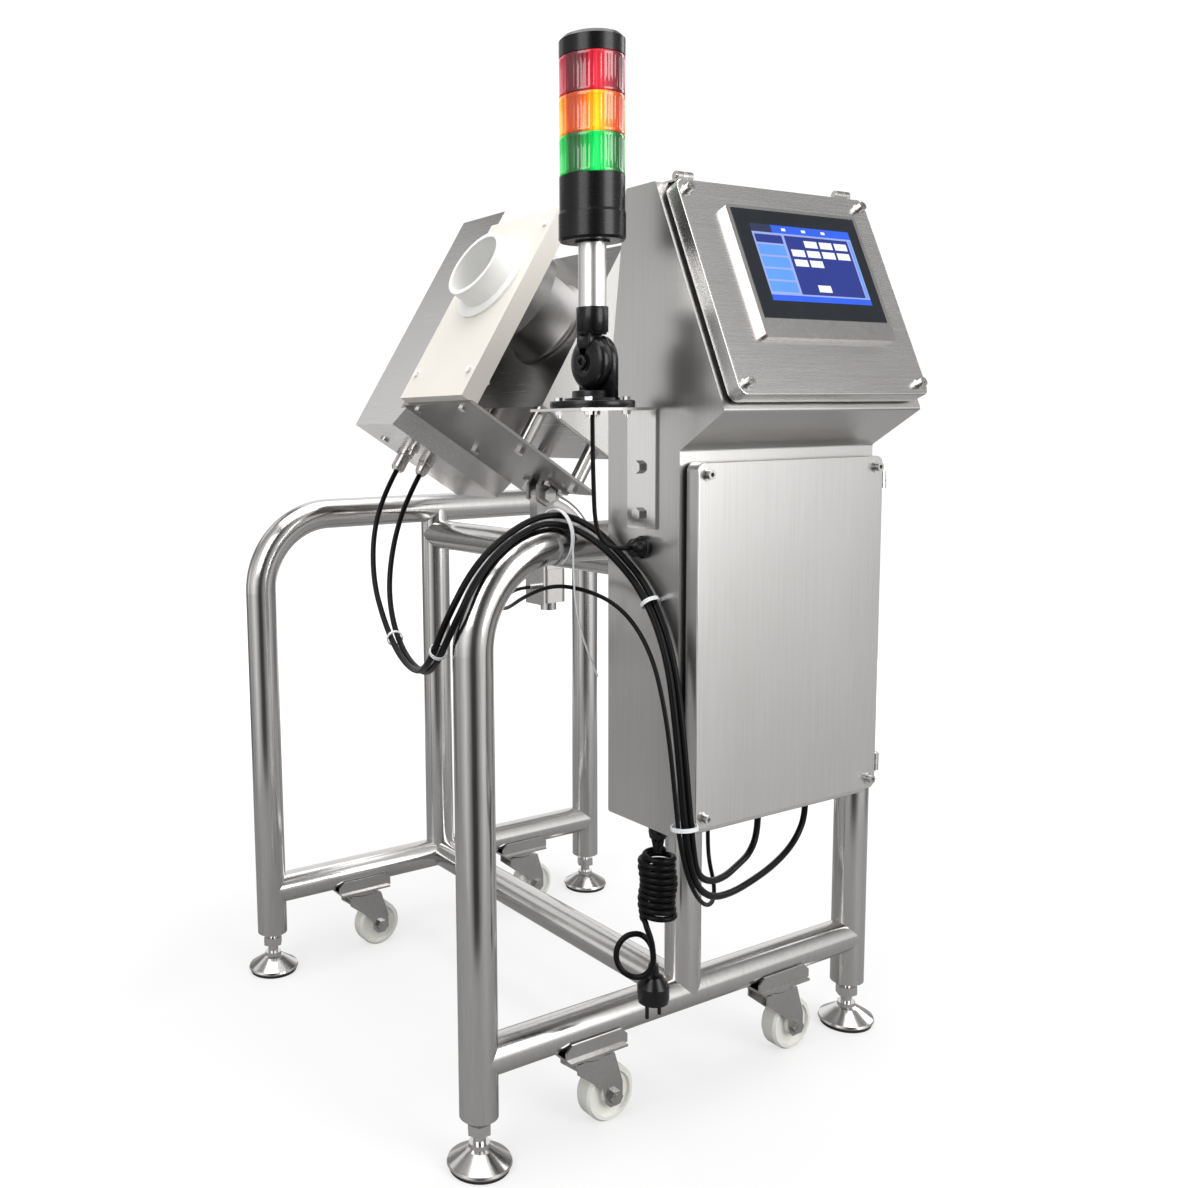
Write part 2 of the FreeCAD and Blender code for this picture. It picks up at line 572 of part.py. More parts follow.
lean_sin = "sin(display_lean * 1deg)"
lean_cos = "cos(display_lean * 1deg)"
rim = "(door_deep + door_gap)"
lip = "(display_below + 8)"
face_y = f"(-display_y + {rim} * {lean_cos})"
face_z = f"(display_z - {rim} * {lean_sin})"
top_run = f"((console_z - {face_z}) / {lean_cos})"
shell_outline = (("0", "cab_z"), ("-cab_deep", "cab_z"), ("-cab_deep", "neck_z"),
                 (f"{face_y} - {lip} * {lean_sin}", f"{face_z} - {lip} * {lean_cos}"),
                 (f"{face_y} + {top_run} * {lean_sin}", "console_z"),
                 ("-console_back_lean", "console_z"), ("0", "console_back_z"))
shell = slab("cabinet_blank", "YZ_Plane", shell_outline, "cab_wide", ("cab_x", cab_back, "0"))
doc.recompute()
BEND_RADIUS = 3.0
shell_edges = edges_along(shell.Shape, Vector(1, 0, 0))
shell_round = soften("cabinet_round", shell, shell_edges, BEND_RADIUS)
hollow = doc.addObject("Part::Offset", "cabinet_hollow")
hollow.Source = shell
tie(hollow, "Value", "-cab_sheet")
hollow.Mode = 0
hollow.Join = 2
door_hole = box("cabinet_door_hole", ("cab_wide - 2 * (door_inset + hole_inset)", "20",
                                      "door_tall - 2 * hole_inset"),
                ("cab_x - cab_wide / 2 + door_inset + hole_inset", f"{cab_back} - cab_deep - 10",
                 "door_z + hole_inset"))
display_hole = box("display_hole", ("cab_wide - 2 * (door_inset + hole_inset)", "20",
                                    "display_tall - 2 * hole_inset"),
                   ("-cab_wide / 2 + door_inset + hole_inset", f"{rim} - 10", "-display_below + hole_inset"))
display_cut = on_display(group("display_cut", (display_hole,)))

gland_x = (-133, -54, 30, 114)
gland_y = "(-cab_deep / 2 - 4)"
gland_holes = [rod(f"gland_hole_{i}", "gland_thread / 2", "20",
                   (f"cab_x + {x}", f"{cab_back} + {gland_y}", "cab_z - 10")) for i, x in enumerate(gland_x)]
side_hole = rod("side_gland_hole", "gland_thread / 2", "20",
                ("cab_x - cab_wide / 2 - 10", f"{cab_back} - side_gland_in", "side_gland_z"), "X")
shell_tools = [hollow, door_hole, display_cut, side_hole, *gland_holes]

# Brackets behind the cabinet, their bolts, and what the cabinet holds inside

bracket_outline = (("-38", "0"), ("38", "0"), ("38", "bracket_thick"), ("20", "bracket_thick"),
                   ("20", "cab_gap + tube / 2"), ("-20", "cab_gap + tube / 2"), ("-20", "bracket_thick"),
                   ("-38", "bracket_thick"))


def bolt_through(name, radius, start, grip, axis, head_tall=5.5, nut_tall=6.5):
    """A bolt with its head before the start and its nut after the grip."""
    along = {"X": (1, 0, 0), "Y": (0, 1, 0), "Z": (0, 0, 1)}[axis[-1]]
    sign = -1 if axis[0] == "-" else 1

    def moved(distance):
        return [f"{text} + {sign * part} * ({distance})" for text, part in zip(start, along)]

    shank = rod(f"{name}_shank", radius, f"{grip} + {head_tall + nut_tall} + 2", moved(-head_tall + 1), axis)
    head = hexagon(f"{name}_head", f"2 * ({radius}) * 1.6", head_tall, moved(-head_tall), axis)
    nut = hexagon(f"{name}_nut", f"2 * ({radius}) * 1.6", nut_tall, moved(grip), axis)
    return fuse(name, shank, head, nut)


brackets = []
bolts = []
for level, height in (("low", "bracket_low"), ("high", "bracket_high")):
    body = slab(f"bracket_{level}_blank", "XY_Plane", bracket_outline, "bracket_tall", ("0", cab_back, height))
    holes = []
    for side, sign in (("left", -1), ("right", 1)):
        start = (f"{sign} * 29", f"{cab_back} + bracket_thick", height)
        bolts.append(bolt_through(f"bracket_bolt_{level}_{side}", "bolt / 2", start,
                                  "bracket_thick + cab_sheet", "-Y"))
        for part in ("bracket", "shell"):
            tool = rod(f"{part}_hole_{level}_{side}", "bolt / 2 + run_gap", "24",
                       (start[0], f"{cab_back} - 12", height), "Y")
            (holes if part == "bracket" else shell_tools).append(tool)
    brackets.append(cut(f"bracket_{level}", body, post_tool(f"bracket_{level}_cope", -1), *holes))

# Tower bracket: a strap on the cabinet's left side with a shelf

cab_left = "cab_x - cab_wide / 2"
tower_x = "cab_x - cab_wide / 2 - tower_out"
tower_mid = "stand_y + tower_y"
strap = box("tower_strap", ("strap_sheet", "strap_wide", "shelf_z - strap_low"),
            (f"{cab_left} - strap_sheet", f"{tower_mid} - strap_wide / 2", "strap_low"))
shelf_outline = (("0", "-strap_wide / 2"), ("0", "strap_wide / 2"), ("-20", "flange_wide / 2"),
                 ("-tower_out - flange_wide / 2 - 4", "flange_wide / 2"),
                 ("-tower_out - flange_wide / 2 - 4", "-flange_wide / 2"), ("-20", "-flange_wide / 2"))
shelf = slab("tower_shelf", "XY_Plane", shelf_outline, "strap_sheet",
             (cab_left, tower_mid, "shelf_z - strap_sheet / 2"))
cable_hole = rod("shelf_cable_hole", "9", "20", (tower_x, tower_mid, "shelf_z - 10"))
strap_holes = []
for i, height in enumerate(("strap_low + 16", "strap_low + 69")):
    start = (f"{cab_left} - strap_sheet", f"{tower_mid} + 3", height)
    bolts.append(bolt_through(f"strap_bolt_{i}", "bolt / 2", start, "strap_sheet + cab_sheet", "X"))
    for part in ("strap", "shell"):
        tool = rod(f"{part}_bolt_hole_{i}", "bolt / 2 + run_gap", "24", (f"{cab_left} - 12", start[1], height), "X")
        (strap_holes if part == "strap" else shell_tools).append(tool)
flange_spots = [(f"{tower_x} + {a} * flange_wide * 0.4", f"{tower_mid} + {b} * flange_wide * 0.4")
                for a, b in ((0.707, 0.707), (-0.707, 0.707), (-0.707, -0.707), (0.707, -0.707))]
screw_holes = []
for i, spot in enumerate(flange_spots):
    strap_holes.append(rod(f"shelf_screw_hole_{i}", "screw / 2 - 0.5", "20", (*spot, "shelf_z - 10")))
    screw_holes.append(rod(f"flange_screw_hole_{i}", "screw / 2 - 0.5", "20", (*spot, "shelf_z - 4")))
    bolts.append(bolt_through(f"flange_screw_{i}", "screw / 2 - 0.5", (*spot, "shelf_z + flange_thick"),
                              "flange_thick + strap_sheet", "-Z", 4, 4))
brackets.append(cut("tower_bracket", fuse("tower_bracket_blank", strap, shelf), cable_hole, *strap_holes))
node("cabinet_brackets", group("cabinet_brackets", brackets))
node("frame_bolts", group("frame_bolts", bolts))

# Cable glands: four under the cabinet and one in its side

glands = []
gland_rims = (("0.55", "-cab_sheet - 5"), ("gland_thread / 2", "-cab_sheet - 5"), ("gland_thread / 2", "0"),
              ("13", "0"), ("13", "5"), ("11", "6"), ("11", "12"), ("10", "18"), ("6.5", "22"), ("0.55", "22"))


def gland(name, start, axis, cable_text):
    """A cable gland with its bore, nut inside and dome outside."""
    points = [((f"{cable_text} / 2 + run_gap" if a == "0.55" else a), b) for a, b in gland_rims]
    return turned(f"{name}_body", points, start, axis)


spots = [(f"cab_x + {x}", f"{cab_back} + {gland_y}", "cab_z") for x in gland_x]
gland_cable = ("lead", "cable", "cable", "cable")
for i, spot in enumerate(spots):
    glands.append(gland(f"gland_{i}", spot, "-Z", gland_cable[i]))
glands.append(gland("gland_side", (cab_left, f"{cab_back} - side_gland_in", "side_gland_z"), "-X", "wire"))
node("cabinet_glands", group("cabinet_glands", glands))

# Inside the cabinet: a mounting plate on spacers, a power supply and a controller board

plate_face = f"{cab_back} - cab_sheet - plate_gap"
plate = box("mounting_sheet", ("cab_wide - 60", "cab_sheet", "door_tall - 60"),
            ("cab_x - cab_wide / 2 + 30", f"{plate_face} - cab_sheet", "door_z + 30"))
spacers = [rod(f"mounting_spacer_{i}", "6", "plate_gap",
               (f"cab_x + {a} * (cab_wide / 2 - 45)", plate_face, f"door_z + door_tall / 2 + {b} * (door_tall / 2 - 45)"),
               "Y") for i, (a, b) in enumerate(((-1, -1), (1, -1), (-1, 1), (1, 1)))]
node("mounting_plate", fuse("mounting_plate", plate, *spacers))
supply_y = f"{plate_face} - cab_sheet - 50"
supply_case = box("supply_case", ("130", "50", "98"), ("cab_x - 110", supply_y, "door_z + 60"))
supply_block = box("supply_terminals", ("110", "16", "20"), ("cab_x - 100", f"{supply_y} + 34", "door_z + 40"))
power_supply = fuse("power_supply", supply_case, supply_block)
board_y = f"{plate_face} - cab_sheet - 10"
board_parts = [box("board_sheet", ("180", "2", "150"), ("cab_x - 90", f"{board_y} - 2", "door_z + 195"))]
for i, (a, b) in enumerate(((8, 8), (172, 8), (8, 142), (172, 142))):
    board_parts.append(rod(f"board_pillar_{i}", "4", "10", (f"cab_x - 90 + {a}", board_y, f"door_z + 195 + {b}"), "Y"))
chips = ((20, 30, 40, 40, 12), (80, 35, 26, 26, 4), (120, 40, 22, 60, 16), (30, 90, 60, 22, 14), (110, 112, 50, 14, 12))
for i, (a, b, wide, tall, deep) in enumerate(chips):
    board_parts.append(box(f"board_chip_{i}", (str(wide), str(deep), str(tall)),
                           (f"cab_x - 90 + {a}", f"{board_y} - 2 - {deep}", f"door_z + 195 + {b}")))
node("cabinet_electronics", group("cabinet_electronics", (power_supply, fuse("controller_board", *board_parts))))
node("cabinet_shell", cut("cabinet_shell", shell_round, *shell_tools))

# Doors: a folded pan, its seal, corner screws, and hinges with pins


def round_corners(name, item, radius, rim_radius=0.0):
    """Rounds a pan's four corners, then the rim of its face."""
    doc.recompute()
    corners = soften(f"{name}_corners", item, edges_along(item.Shape, Vector(0, 1, 0)), radius)
    if not rim_radius:
        return corners
    doc.recompute()
    rims = [number for number, edge in enumerate(corners.Shape.Edges, 1) if edge.BoundBox.YMax < 1e-6]
    return soften(f"{name}_rim", corners, rims, rim_radius)


def door_parts(name, wide, tall, low, holes=()):
    """A door's pan, seal and screws in the door's own frame, with its face at Y zero."""
    blank = box(f"{name}_blank", (wide, "door_deep", tall), (f"-({wide}) / 2", "0", low))
    space = box(f"{name}_space", (f"{wide} - 2 * door_sheet", "door_deep", f"{tall} - 2 * door_sheet"),
                (f"-({wide}) / 2 + door_sheet", "door_sheet", f"{low} + door_sheet"))
    tools = [round_corners(f"{name}_inner", space, door_corner - door_sheet), *holes]
    screws = []
    for i, (a, b) in enumerate(((-1, -1), (1, -1), (-1, 1), (1, 1))):
        x = f"{a} * (({wide}) / 2 - screw_inset)"
        z = f"{low} + ({tall}) / 2 + {b} * (({tall}) / 2 - screw_inset)"
        tools.append(rod(f"{name}_screw_hole_{i}", "screw / 2 + run_gap", "20", (x, "-10", z), "Y"))
        shank = rod(f"{name}_screw_shank_{i}", "screw / 2", "door_deep + door_gap - face_gap + 1", (x, "-1", z), "Y")
        washer = rod(f"{name}_washer_{i}", "screw * 1.15", "1.6", (x, "-1.6", z), "Y")
        head = rod(f"{name}_screw_head_{i}", "screw * 0.85", "6", (x, "-7.6", z), "Y")
        socket = hexagon(f"{name}_socket_{i}", "screw * 0.8", "4", (x, "-8", z), "Y")
        screws.append(cut(f"{name}_screw_{i}", fuse(f"{name}_screw_blank_{i}", shank, washer, head), socket))
    pan = cut(f"{name}_pan", round_corners(name, blank, door_corner, 1.5), *tools)
    seal_outer = box(f"{name}_seal_outer", (f"{wide} - 2 * seal_inset", "door_deep + door_gap - door_sheet - face_gap",
                                            f"{tall} - 2 * seal_inset"),
                     (f"-({wide}) / 2 + seal_inset", "door_sheet", f"{low} + seal_inset"))
    seal_inner = box(f"{name}_seal_inner", (f"{wide} - 2 * seal_inset - 2 * seal_wide", "50",
                                            f"{tall} - 2 * seal_inset - 2 * seal_wide"),
                     (f"-({wide}) / 2 + seal_inset + seal_wide", "-10", f"{low} + seal_inset + seal_wide"))
    seal = cut(f"{name}_seal", round_corners(f"{name}_seal_edge", seal_outer, door_corner - seal_inset),
               round_corners(f"{name}_seal_hole", seal_inner, 3))
    return pan, seal, group(f"{name}_screws", screws)


door_wide = "cab_wide - 2 * door_inset"
door_front = f"{cab_back} - cab_deep - door_gap - door_deep"
pan, seal, screws = door_parts("cabinet_door", door_wide, "door_tall", "door_z")
axis_x = f"({door_wide}) / 2 + hinge_out"
lugs = []
leaves = []
for i, height in enumerate(("door_hinge_low", "door_hinge_high")):
    strip = box(f"door_hinge_strip_{i}", ("hinge_out", "3", "knuckle_long"),
                (f"({door_wide}) / 2", "hinge_out - 1.5", f"{height} - knuckle_long / 2"))
    barrel = rod(f"door_hinge_barrel_{i}", "knuckle / 2", "knuckle_long",
                 (axis_x, "hinge_out", f"{height} - knuckle_long / 2"))
    bore = rod(f"door_hinge_bore_{i}", "hinge_pin / 2 + run_gap", "knuckle_long + 10",
               (axis_x, "hinge_out", f"{height} - knuckle_long / 2 - 5"))
    lugs.append(cut(f"door_hinge_lug_{i}", fuse(f"door_hinge_lug_blank_{i}", strip, barrel), bore))
    long = "(3 * knuckle_long + 2 * face_gap)"
    leaf = box(f"door_leaf_{i}", ("hinge_leaf", "40", long),
               (cab_left + " + cab_wide", f"{door_front} + hinge_out", f"{height} - {long} / 2"))
    outer = rod(f"door_leaf_barrel_{i}", "knuckle / 2", long,
                (f"cab_x + {axis_x}", f"{door_front} + hinge_out", f"{height} - {long} / 2"))
    notch = rod(f"door_leaf_notch_{i}", "knuckle / 2 + face_gap", "knuckle_long + 2 * face_gap",
                (f"cab_x + {axis_x}", f"{door_front} + hinge_out", f"{height} - knuckle_long / 2 - face_gap"))
    pin = rod(f"door_leaf_pin_{i}", "hinge_pin / 2", f"{long} + 3",
              (f"cab_x + {axis_x}", f"{door_front} + hinge_out", f"{height} - {long} / 2 - 1.5"))
    leaves.append(fuse(f"door_hinge_{i}", cut(f"door_leaf_cut_{i}", fuse(f"door_leaf_fused_{i}", leaf, outer), notch),
                       pin))
place = ("cab_x", door_front, "0")
node("cabinet_door", put(fuse("cabinet_door", pan, *lugs), place))
node("cabinet_door_seal", put(seal, place))
node("cabinet_door_screws", put(screws, place))

hmi_hole = box("hmi_hole", ("hmi_wide - 16", "30", "hmi_tall - 16"), ("hmi_x - hmi_wide / 2 + 8", "-10", "hmi_low + 8"))
pan, seal, screws = door_parts("display_door", door_wide, "display_tall", "-display_below", (hmi_hole,))
axis_up = "(display_tall - display_below + hinge_out)"
axis_y = f"({cab_back} - display_y + {axis_up} * {lean_sin} + hinge_out * {lean_cos})"
axis_z = f"(display_z + {axis_up} * {lean_cos} - hinge_out * {lean_sin})"
lugs = []
for i, sign in enumerate((-1, 1)):
    x = f"{sign} * display_hinge_x"
    strip = box(f"display_hinge_strip_{i}", ("knuckle_long", "3", "hinge_out"),
                (f"{x} - knuckle_long / 2", "hinge_out - 1.5", "display_tall - display_below"))
    barrel = rod(f"display_hinge_barrel_{i}", "knuckle / 2", "knuckle_long",
                 (f"{x} - knuckle_long / 2", "hinge_out", axis_up), "X")
    bore = rod(f"display_hinge_bore_{i}", "hinge_pin / 2 + run_gap", "knuckle_long + 10",
               (f"{x} - knuckle_long / 2 - 5", "hinge_out", axis_up), "X")
    lugs.append(cut(f"display_hinge_lug_{i}", fuse(f"display_lug_blank_{i}", strip, barrel), bore))
    leaf = box(f"display_leaf_{i}", (long, "36", "hinge_leaf"),
               (f"cab_x + {x} - {long} / 2", axis_y, "console_z"))
    outer = rod(f"display_leaf_barrel_{i}", "knuckle / 2", long, (f"cab_x + {x} - {long} / 2", axis_y, axis_z), "X")
    notch = rod(f"display_leaf_notch_{i}", "knuckle / 2 + face_gap", "knuckle_long + 2 * face_gap",
                (f"cab_x + {x} - knuckle_long / 2 - face_gap", axis_y, axis_z), "X")
    pin = rod(f"display_leaf_pin_{i}", "hinge_pin / 2", f"{long} + 3",
              (f"cab_x + {x} - {long} / 2 - 1.5", axis_y, axis_z), "X")
    leaves.append(fuse(f"display_hinge_{i}", cut(f"display_leaf_cut_{i}",
                                                 fuse(f"display_leaf_fused_{i}", leaf, outer), notch), pin))
node("hinge_leaves", group("hinge_leaves", leaves))
node("display_door", on_display(fuse("display_door", pan, *lugs)))
node("display_door_seal", on_display(seal))
node("display_door_screws", on_display(screws))
bezel = box("hmi_bezel", ("hmi_wide", "hmi_proud", "hmi_tall"), ("hmi_x - hmi_wide / 2", "-hmi_proud", "hmi_low"))
doc.recompute()
bezel_round = soften("hmi_bezel_round", bezel, edges_along(bezel.Shape, Vector(0, 1, 0)), 5)
back = box("hmi_body", ("hmi_wide - 18", "hmi_back + 1", "hmi_tall - 18"), ("hmi_x - hmi_wide / 2 + 9", "-1", "hmi_low + 9"))
glass_low = "(hmi_low + hmi_tall - glass_tall - 4)"
recess = box("hmi_recess", ("glass_wide", "3", "glass_tall"),
             ("hmi_x - glass_wide / 2", "-hmi_proud - 1.5", glass_low))
node("hmi_unit", on_display(group("hmi_unit", (cut("hmi_shell", fuse("hmi_blank", bezel_round, back), recess),))))
node("hmi_glass", on_display(group("hmi_glass", (
    box("hmi_pane", ("glass_wide", "2", "glass_tall"), ("hmi_x - glass_wide / 2", "-hmi_proud - 0.5", glass_low)),))))

# Signal tower: foot with two ears, folding arm, pole, base, three lamps and a cap

spot = (tower_x, tower_mid)
fold_z = "(shelf_z + fold_up)"
flange = rod("tower_flange", "flange_wide / 2", "flange_thick", (*spot, "shelf_z"))
step = rod("tower_step", "flange_wide / 2 - 16", "flange_thick + 3", (*spot, "shelf_z"))
hub = rod("tower_hub", "fold_deep / 2 - 7", "fold_up - fold_deep / 2 - 1", (*spot, "shelf_z"))
ear_x = f"{tower_x} + fold_wide / 2 - fold_ear"
ear_outline = (("-fold_deep / 2", "shelf_z + 4"), ("fold_deep / 2", "shelf_z + 4"), ("fold_deep / 2", fold_z),
               ("-fold_deep / 2", fold_z))
ear = slab("tower_ear", "YZ_Plane", ear_outline, "fold_ear", (f"{ear_x} + fold_ear / 2", tower_mid, "0"))
ear_top = rod("tower_ear_top", "fold_deep / 2", "fold_ear", (ear_x, tower_mid, fold_z), "X")
pin_hole = rod("tower_pin_hole", "fold_pin / 2 + run_gap", "fold_wide + 20",
               (f"{tower_x} - fold_wide / 2 - 10", tower_mid, fold_z), "X")
tower_bore = rod("tower_bore", "9", "fold_up - fold_deep / 2 + 4", (*spot, "shelf_z - 5"))
foot = cut("tower_foot_body", fuse("tower_foot_blank", flange, step, hub, ear, ear_top), pin_hole, tower_bore,
           *screw_holes)
pin_shank = rod("tower_pin_shank", "fold_pin / 2", "fold_wide + 4",
                (f"{tower_x} - fold_wide / 2 - 2", tower_mid, fold_z), "X")
pin_head = rod("tower_pin_head", "fold_pin", "4",
               (f"{tower_x} - fold_wide / 2 - face_gap - 4", tower_mid, fold_z), "X")
pin_nut = hexagon("tower_pin_nut", "fold_pin + 5", "5", (f"{tower_x} + fold_wide / 2", tower_mid, fold_z), "X")
pin_slot = hexagon("tower_pin_slot", "6", "3",
                   (f"{tower_x} - fold_wide / 2 - face_gap - 5", tower_mid, fold_z), "X")
tower_pin = cut("tower_pin", fuse("tower_pin_blank", pin_shank, pin_head, pin_nut), pin_slot)
node("tower_foot", group("tower_foot", (foot, tower_pin)))

disc_thick = "(fold_wide - fold_ear - face_gap)"
disc = rod("tower_disc", "fold_deep / 2", disc_thick, (f"{tower_x} - fold_wide / 2", tower_mid, fold_z), "X")
web = box("tower_web", (disc_thick, "2 * collar / 3", "collar_up - fold_up"),
          (f"{tower_x} - fold_wide / 2", f"{tower_mid} - collar / 3", fold_z))
neck_outline = (("0", f"{fold_z} + fold_deep / 2 + 0.6"), ("collar / 2 - 2", f"{fold_z} + fold_deep / 2 + 0.6"),
                ("collar / 2 - 2", "(shelf_z + collar_up)"), ("collar / 2", "(shelf_z + collar_up)"),
                ("collar / 2", "(shelf_z + pole_up)"), ("0", "(shelf_z + pole_up)"))
neck = turned("tower_neck", neck_outline, (*spot, "0"))
arm_hole = rod("tower_arm_hole", "fold_pin / 2 + run_gap", "fold_wide",
               (f"{tower_x} - fold_wide / 2 - 1", tower_mid, fold_z), "X")
arm_bore = rod("tower_arm_bore", "pole / 2", "(shelf_z + pole_up)", (*spot, "(shelf_z + collar_up) + 2"))
node("tower_arm", cut("tower_arm", fuse("tower_arm_blank", disc, web, neck), arm_hole, arm_bore))
node("tower_pole", ring("tower_pole", "pole / 2", "pole / 2 - 2", "base_up - collar_up + 12",
                        (*spot, "(shelf_z + collar_up) + 2")))
base_outline = (("pole / 2", "(shelf_z + base_up) - 2"), ("pole / 2 + 4", "(shelf_z + base_up) - 2"), ("pole / 2 + 4", "(shelf_z + base_up)"),
                ("lamp / 2 - 1", "(shelf_z + base_up)"), ("lamp / 2 + 1", "(shelf_z + base_up) + 3"), ("lamp / 2 + 1", "(shelf_z + base_up) + 28"),
                ("lamp / 2", "(shelf_z + base_up) + 31"), ("lamp / 2", "(shelf_z + lamp_up)"), ("lamp / 2 - 17", "(shelf_z + lamp_up)"),
                ("lamp / 2 - 17", "(shelf_z + base_up) + 20"),
                ("pole / 2", "(shelf_z + base_up) + 20"))
node("tower_base", turned("tower_base", base_outline, (*spot, "0")))
colours = ("green", "amber", "red")
leds = []
for i, colour in enumerate(colours):
    low = f"(shelf_z + lamp_up) + {i} * lamp_tall"
    lens_outline = (("15", low), ("lamp / 2", low), ("lamp / 2", f"{low} + lamp_tall"),
                    ("15", f"{low} + lamp_tall"), ("15", f"{low} + lamp_tall - lamp_wall"),
                    ("lamp / 2 - lamp_wall", f"{low} + lamp_tall - lamp_wall"),
                    ("lamp / 2 - lamp_wall", f"{low} + lamp_wall"), ("15", f"{low} + lamp_wall"))
    node(f"{colour}_lens", turned(f"{colour}_lens", lens_outline, (*spot, "0")))
    leds.append(rod(f"{colour}_led_core", "13", "lamp_tall - 2 * lamp_wall - 4", (*spot, f"{low} + lamp_wall + 4")))
    leds.append(rod(f"{colour}_led_foot", "20", "4", (*spot, f"{low} + lamp_wall")))
lamp_cores = [fuse(f"{colour}_led", leds[2 * i], leds[2 * i + 1]) for i, colour in enumerate(colours)]
node("lamp_cores", group("lamp_cores", lamp_cores))
cap_outline = (("0", "(shelf_z + lamp_up) + 3 * lamp_tall"), ("lamp / 2", "(shelf_z + lamp_up) + 3 * lamp_tall"),
               ("lamp / 2", "(shelf_z + lamp_up) + 3 * lamp_tall + cap_tall - 4"),
               ("lamp / 2 - 4", "(shelf_z + lamp_up) + 3 * lamp_tall + cap_tall"), ("0", "(shelf_z + lamp_up) + 3 * lamp_tall + cap_tall"))
node("tower_cap", turned("tower_cap", cap_outline, (*spot, "0")))

# Head upright and tilt lugs

upright_side = (("-upright_wide / 2", "cross_bar_z"), ("upright_wide / 2", "cross_bar_z"),
                ("upright_wide / 2", "pivot_z"), ("-upright_wide / 2", "pivot_z"))
upright = slab("upright_blank", "XZ_Plane", upright_side, "upright_thick", ("0", "stand_y", "0"))
crown = rod("upright_crown", "upright_wide / 2", "upright_thick", ("0", "stand_y - upright_thick / 2", "pivot_z"), "Y")
bar_round = rod("upright_cope", "tube / 2", "upright_thick + 20",
                ("0", "stand_y - upright_thick / 2 - 10", "cross_bar_z"), "Y")
pivot_bore = rod("upright_bore", "pivot_pin / 2 + run_gap", "upright_thick + 20",
                 ("0", "stand_y - upright_thick / 2 - 10", "pivot_z"), "Y")
middle_pieces.append(cut("head_upright", fuse("upright_plate", upright, crown), bar_round, pivot_bore))
node("middle_frame", group("middle_frame", middle_pieces))

lug_side = (("-lug_wide / 2", "plate_up"), ("-lug_wide / 2", "4"), ("-pivot_pin", "-pivot_pin - 2"),
            ("pivot_pin", "-pivot_pin - 2"), ("lug_wide / 2", "4"), ("lug_wide / 2", "plate_up"))
tilt_lugs = []
lug_off = "(upright_thick / 2 + lug_gap + lug_thick / 2)"
for side, sign in (("front", -1), ("rear", 1)):
    flat = slab(f"lug_{side}_flat", "XZ_Plane", lug_side, "lug_thick", ("0", f"{sign} * {lug_off}", "0"))
    foot_flange = box(f"lug_{side}_foot", ("lug_wide", "20", "4"),
                      ("-lug_wide / 2", f"{sign} * ({lug_off} + 10) - 10", "plate_up - 4"))
    bore = rod(f"lug_{side}_bore", "pivot_pin / 2", "80", ("0", "-40", "0"), "Y")
    tilt_lugs.append(cut(f"lug_{side}", fuse(f"lug_{side}_blank", flat, foot_flange), bore))
grip = "(upright_thick + 2 * lug_gap + 2 * lug_thick)"
head_bolts = [bolt_through("pivot_bolt", "pivot_pin / 2", ("0", f"-{grip} / 2", "0"), grip, "Y", 8, 10)]

# Head: support plate, standoffs, coil case, coils, pipe, inlet plate, flange and electronics box

plate_box = box("support_sheet", ("plate_back + plate_front", "plate_deep", "plate_thick"),
                ("-plate_back", "-plate_deep / 2", "plate_up"))
case_mid = "(-ring_back + case_long / 2)"
case_low = "(plate_up + plate_thick + standoff_tall)"
posts = []
plate_holes = []
case_holes = []
for i, (a, b) in enumerate(((-1, -1), (1, -1), (-1, 1), (1, 1))):
    x = f"{case_mid} + {a} * standoff_x"
    y = f"{b} * standoff_y"
    sleeve = ring(f"standoff_{i}", "standoff / 2", "bolt / 2 + run_gap", "standoff_tall",
                  (x, y, "plate_up + plate_thick"))
    through = bolt_through(f"standoff_bolt_{i}", "bolt / 2", (x, y, "plate_up"),
                           "plate_thick + standoff_tall + case_sheet", "Z")
    posts.append(sleeve)
    head_bolts.append(through)
    plate_holes.append(rod(f"support_hole_{i}", "bolt / 2 + run_gap", "20", (x, y, "plate_up - 10")))
    case_holes.append(rod(f"case_hole_{i}", "bolt / 2 + run_gap", "20", (x, y, f"{case_low} - 10")))

case_outer = box("coil_case_outer", ("case_long", "case_deep", "case_tall"), ("-ring_back", "-case_deep / 2", case_low))
doc.recompute()
case_round = soften("coil_case_round", case_outer, edges_along(case_outer.Shape, Vector(1, 0, 0)), 4)
case_inner = box("coil_case_inner", ("case_long - 2 * case_sheet", "case_deep - 2 * case_sheet",
                                     "case_tall - 2 * case_sheet"),
                 ("-ring_back + case_sheet", "-case_deep / 2 + case_sheet", f"{case_low} + case_sheet"))
pipe_room = rod("coil_case_bore", "pipe_outer / 2 + run_gap", "case_long + 20", ("-ring_back - 10", "0", "pipe_up"), "X")
link_holes = []
for i, (x, z) in enumerate((("-ring_back + 24", "130"), ("-ring_back + 100", "130"),
                            ("-ring_back + 24", "310"), ("-ring_back + 100", "310"))):
    posts.append(ring(f"link_{i}", "link_gap", "bolt / 2 + run_gap", "ebox_y - case_deep / 2",
                      (x, "case_deep / 2", z), "Y"))
    head_bolts.append(bolt_through(f"link_bolt_{i}", "bolt / 2", (x, "case_deep / 2 - case_sheet", z),
                                   "case_sheet + ebox_y - case_deep / 2 + ebox_sheet", "Y"))
    link_holes.append(rod(f"link_hole_{i}", "bolt / 2 + run_gap", "70", (x, "case_deep / 2 - 15", z), "Y"))
node("head_standoffs", on_head(group("head_standoffs", posts)))
case_tools = [case_inner, pipe_room, *case_holes]
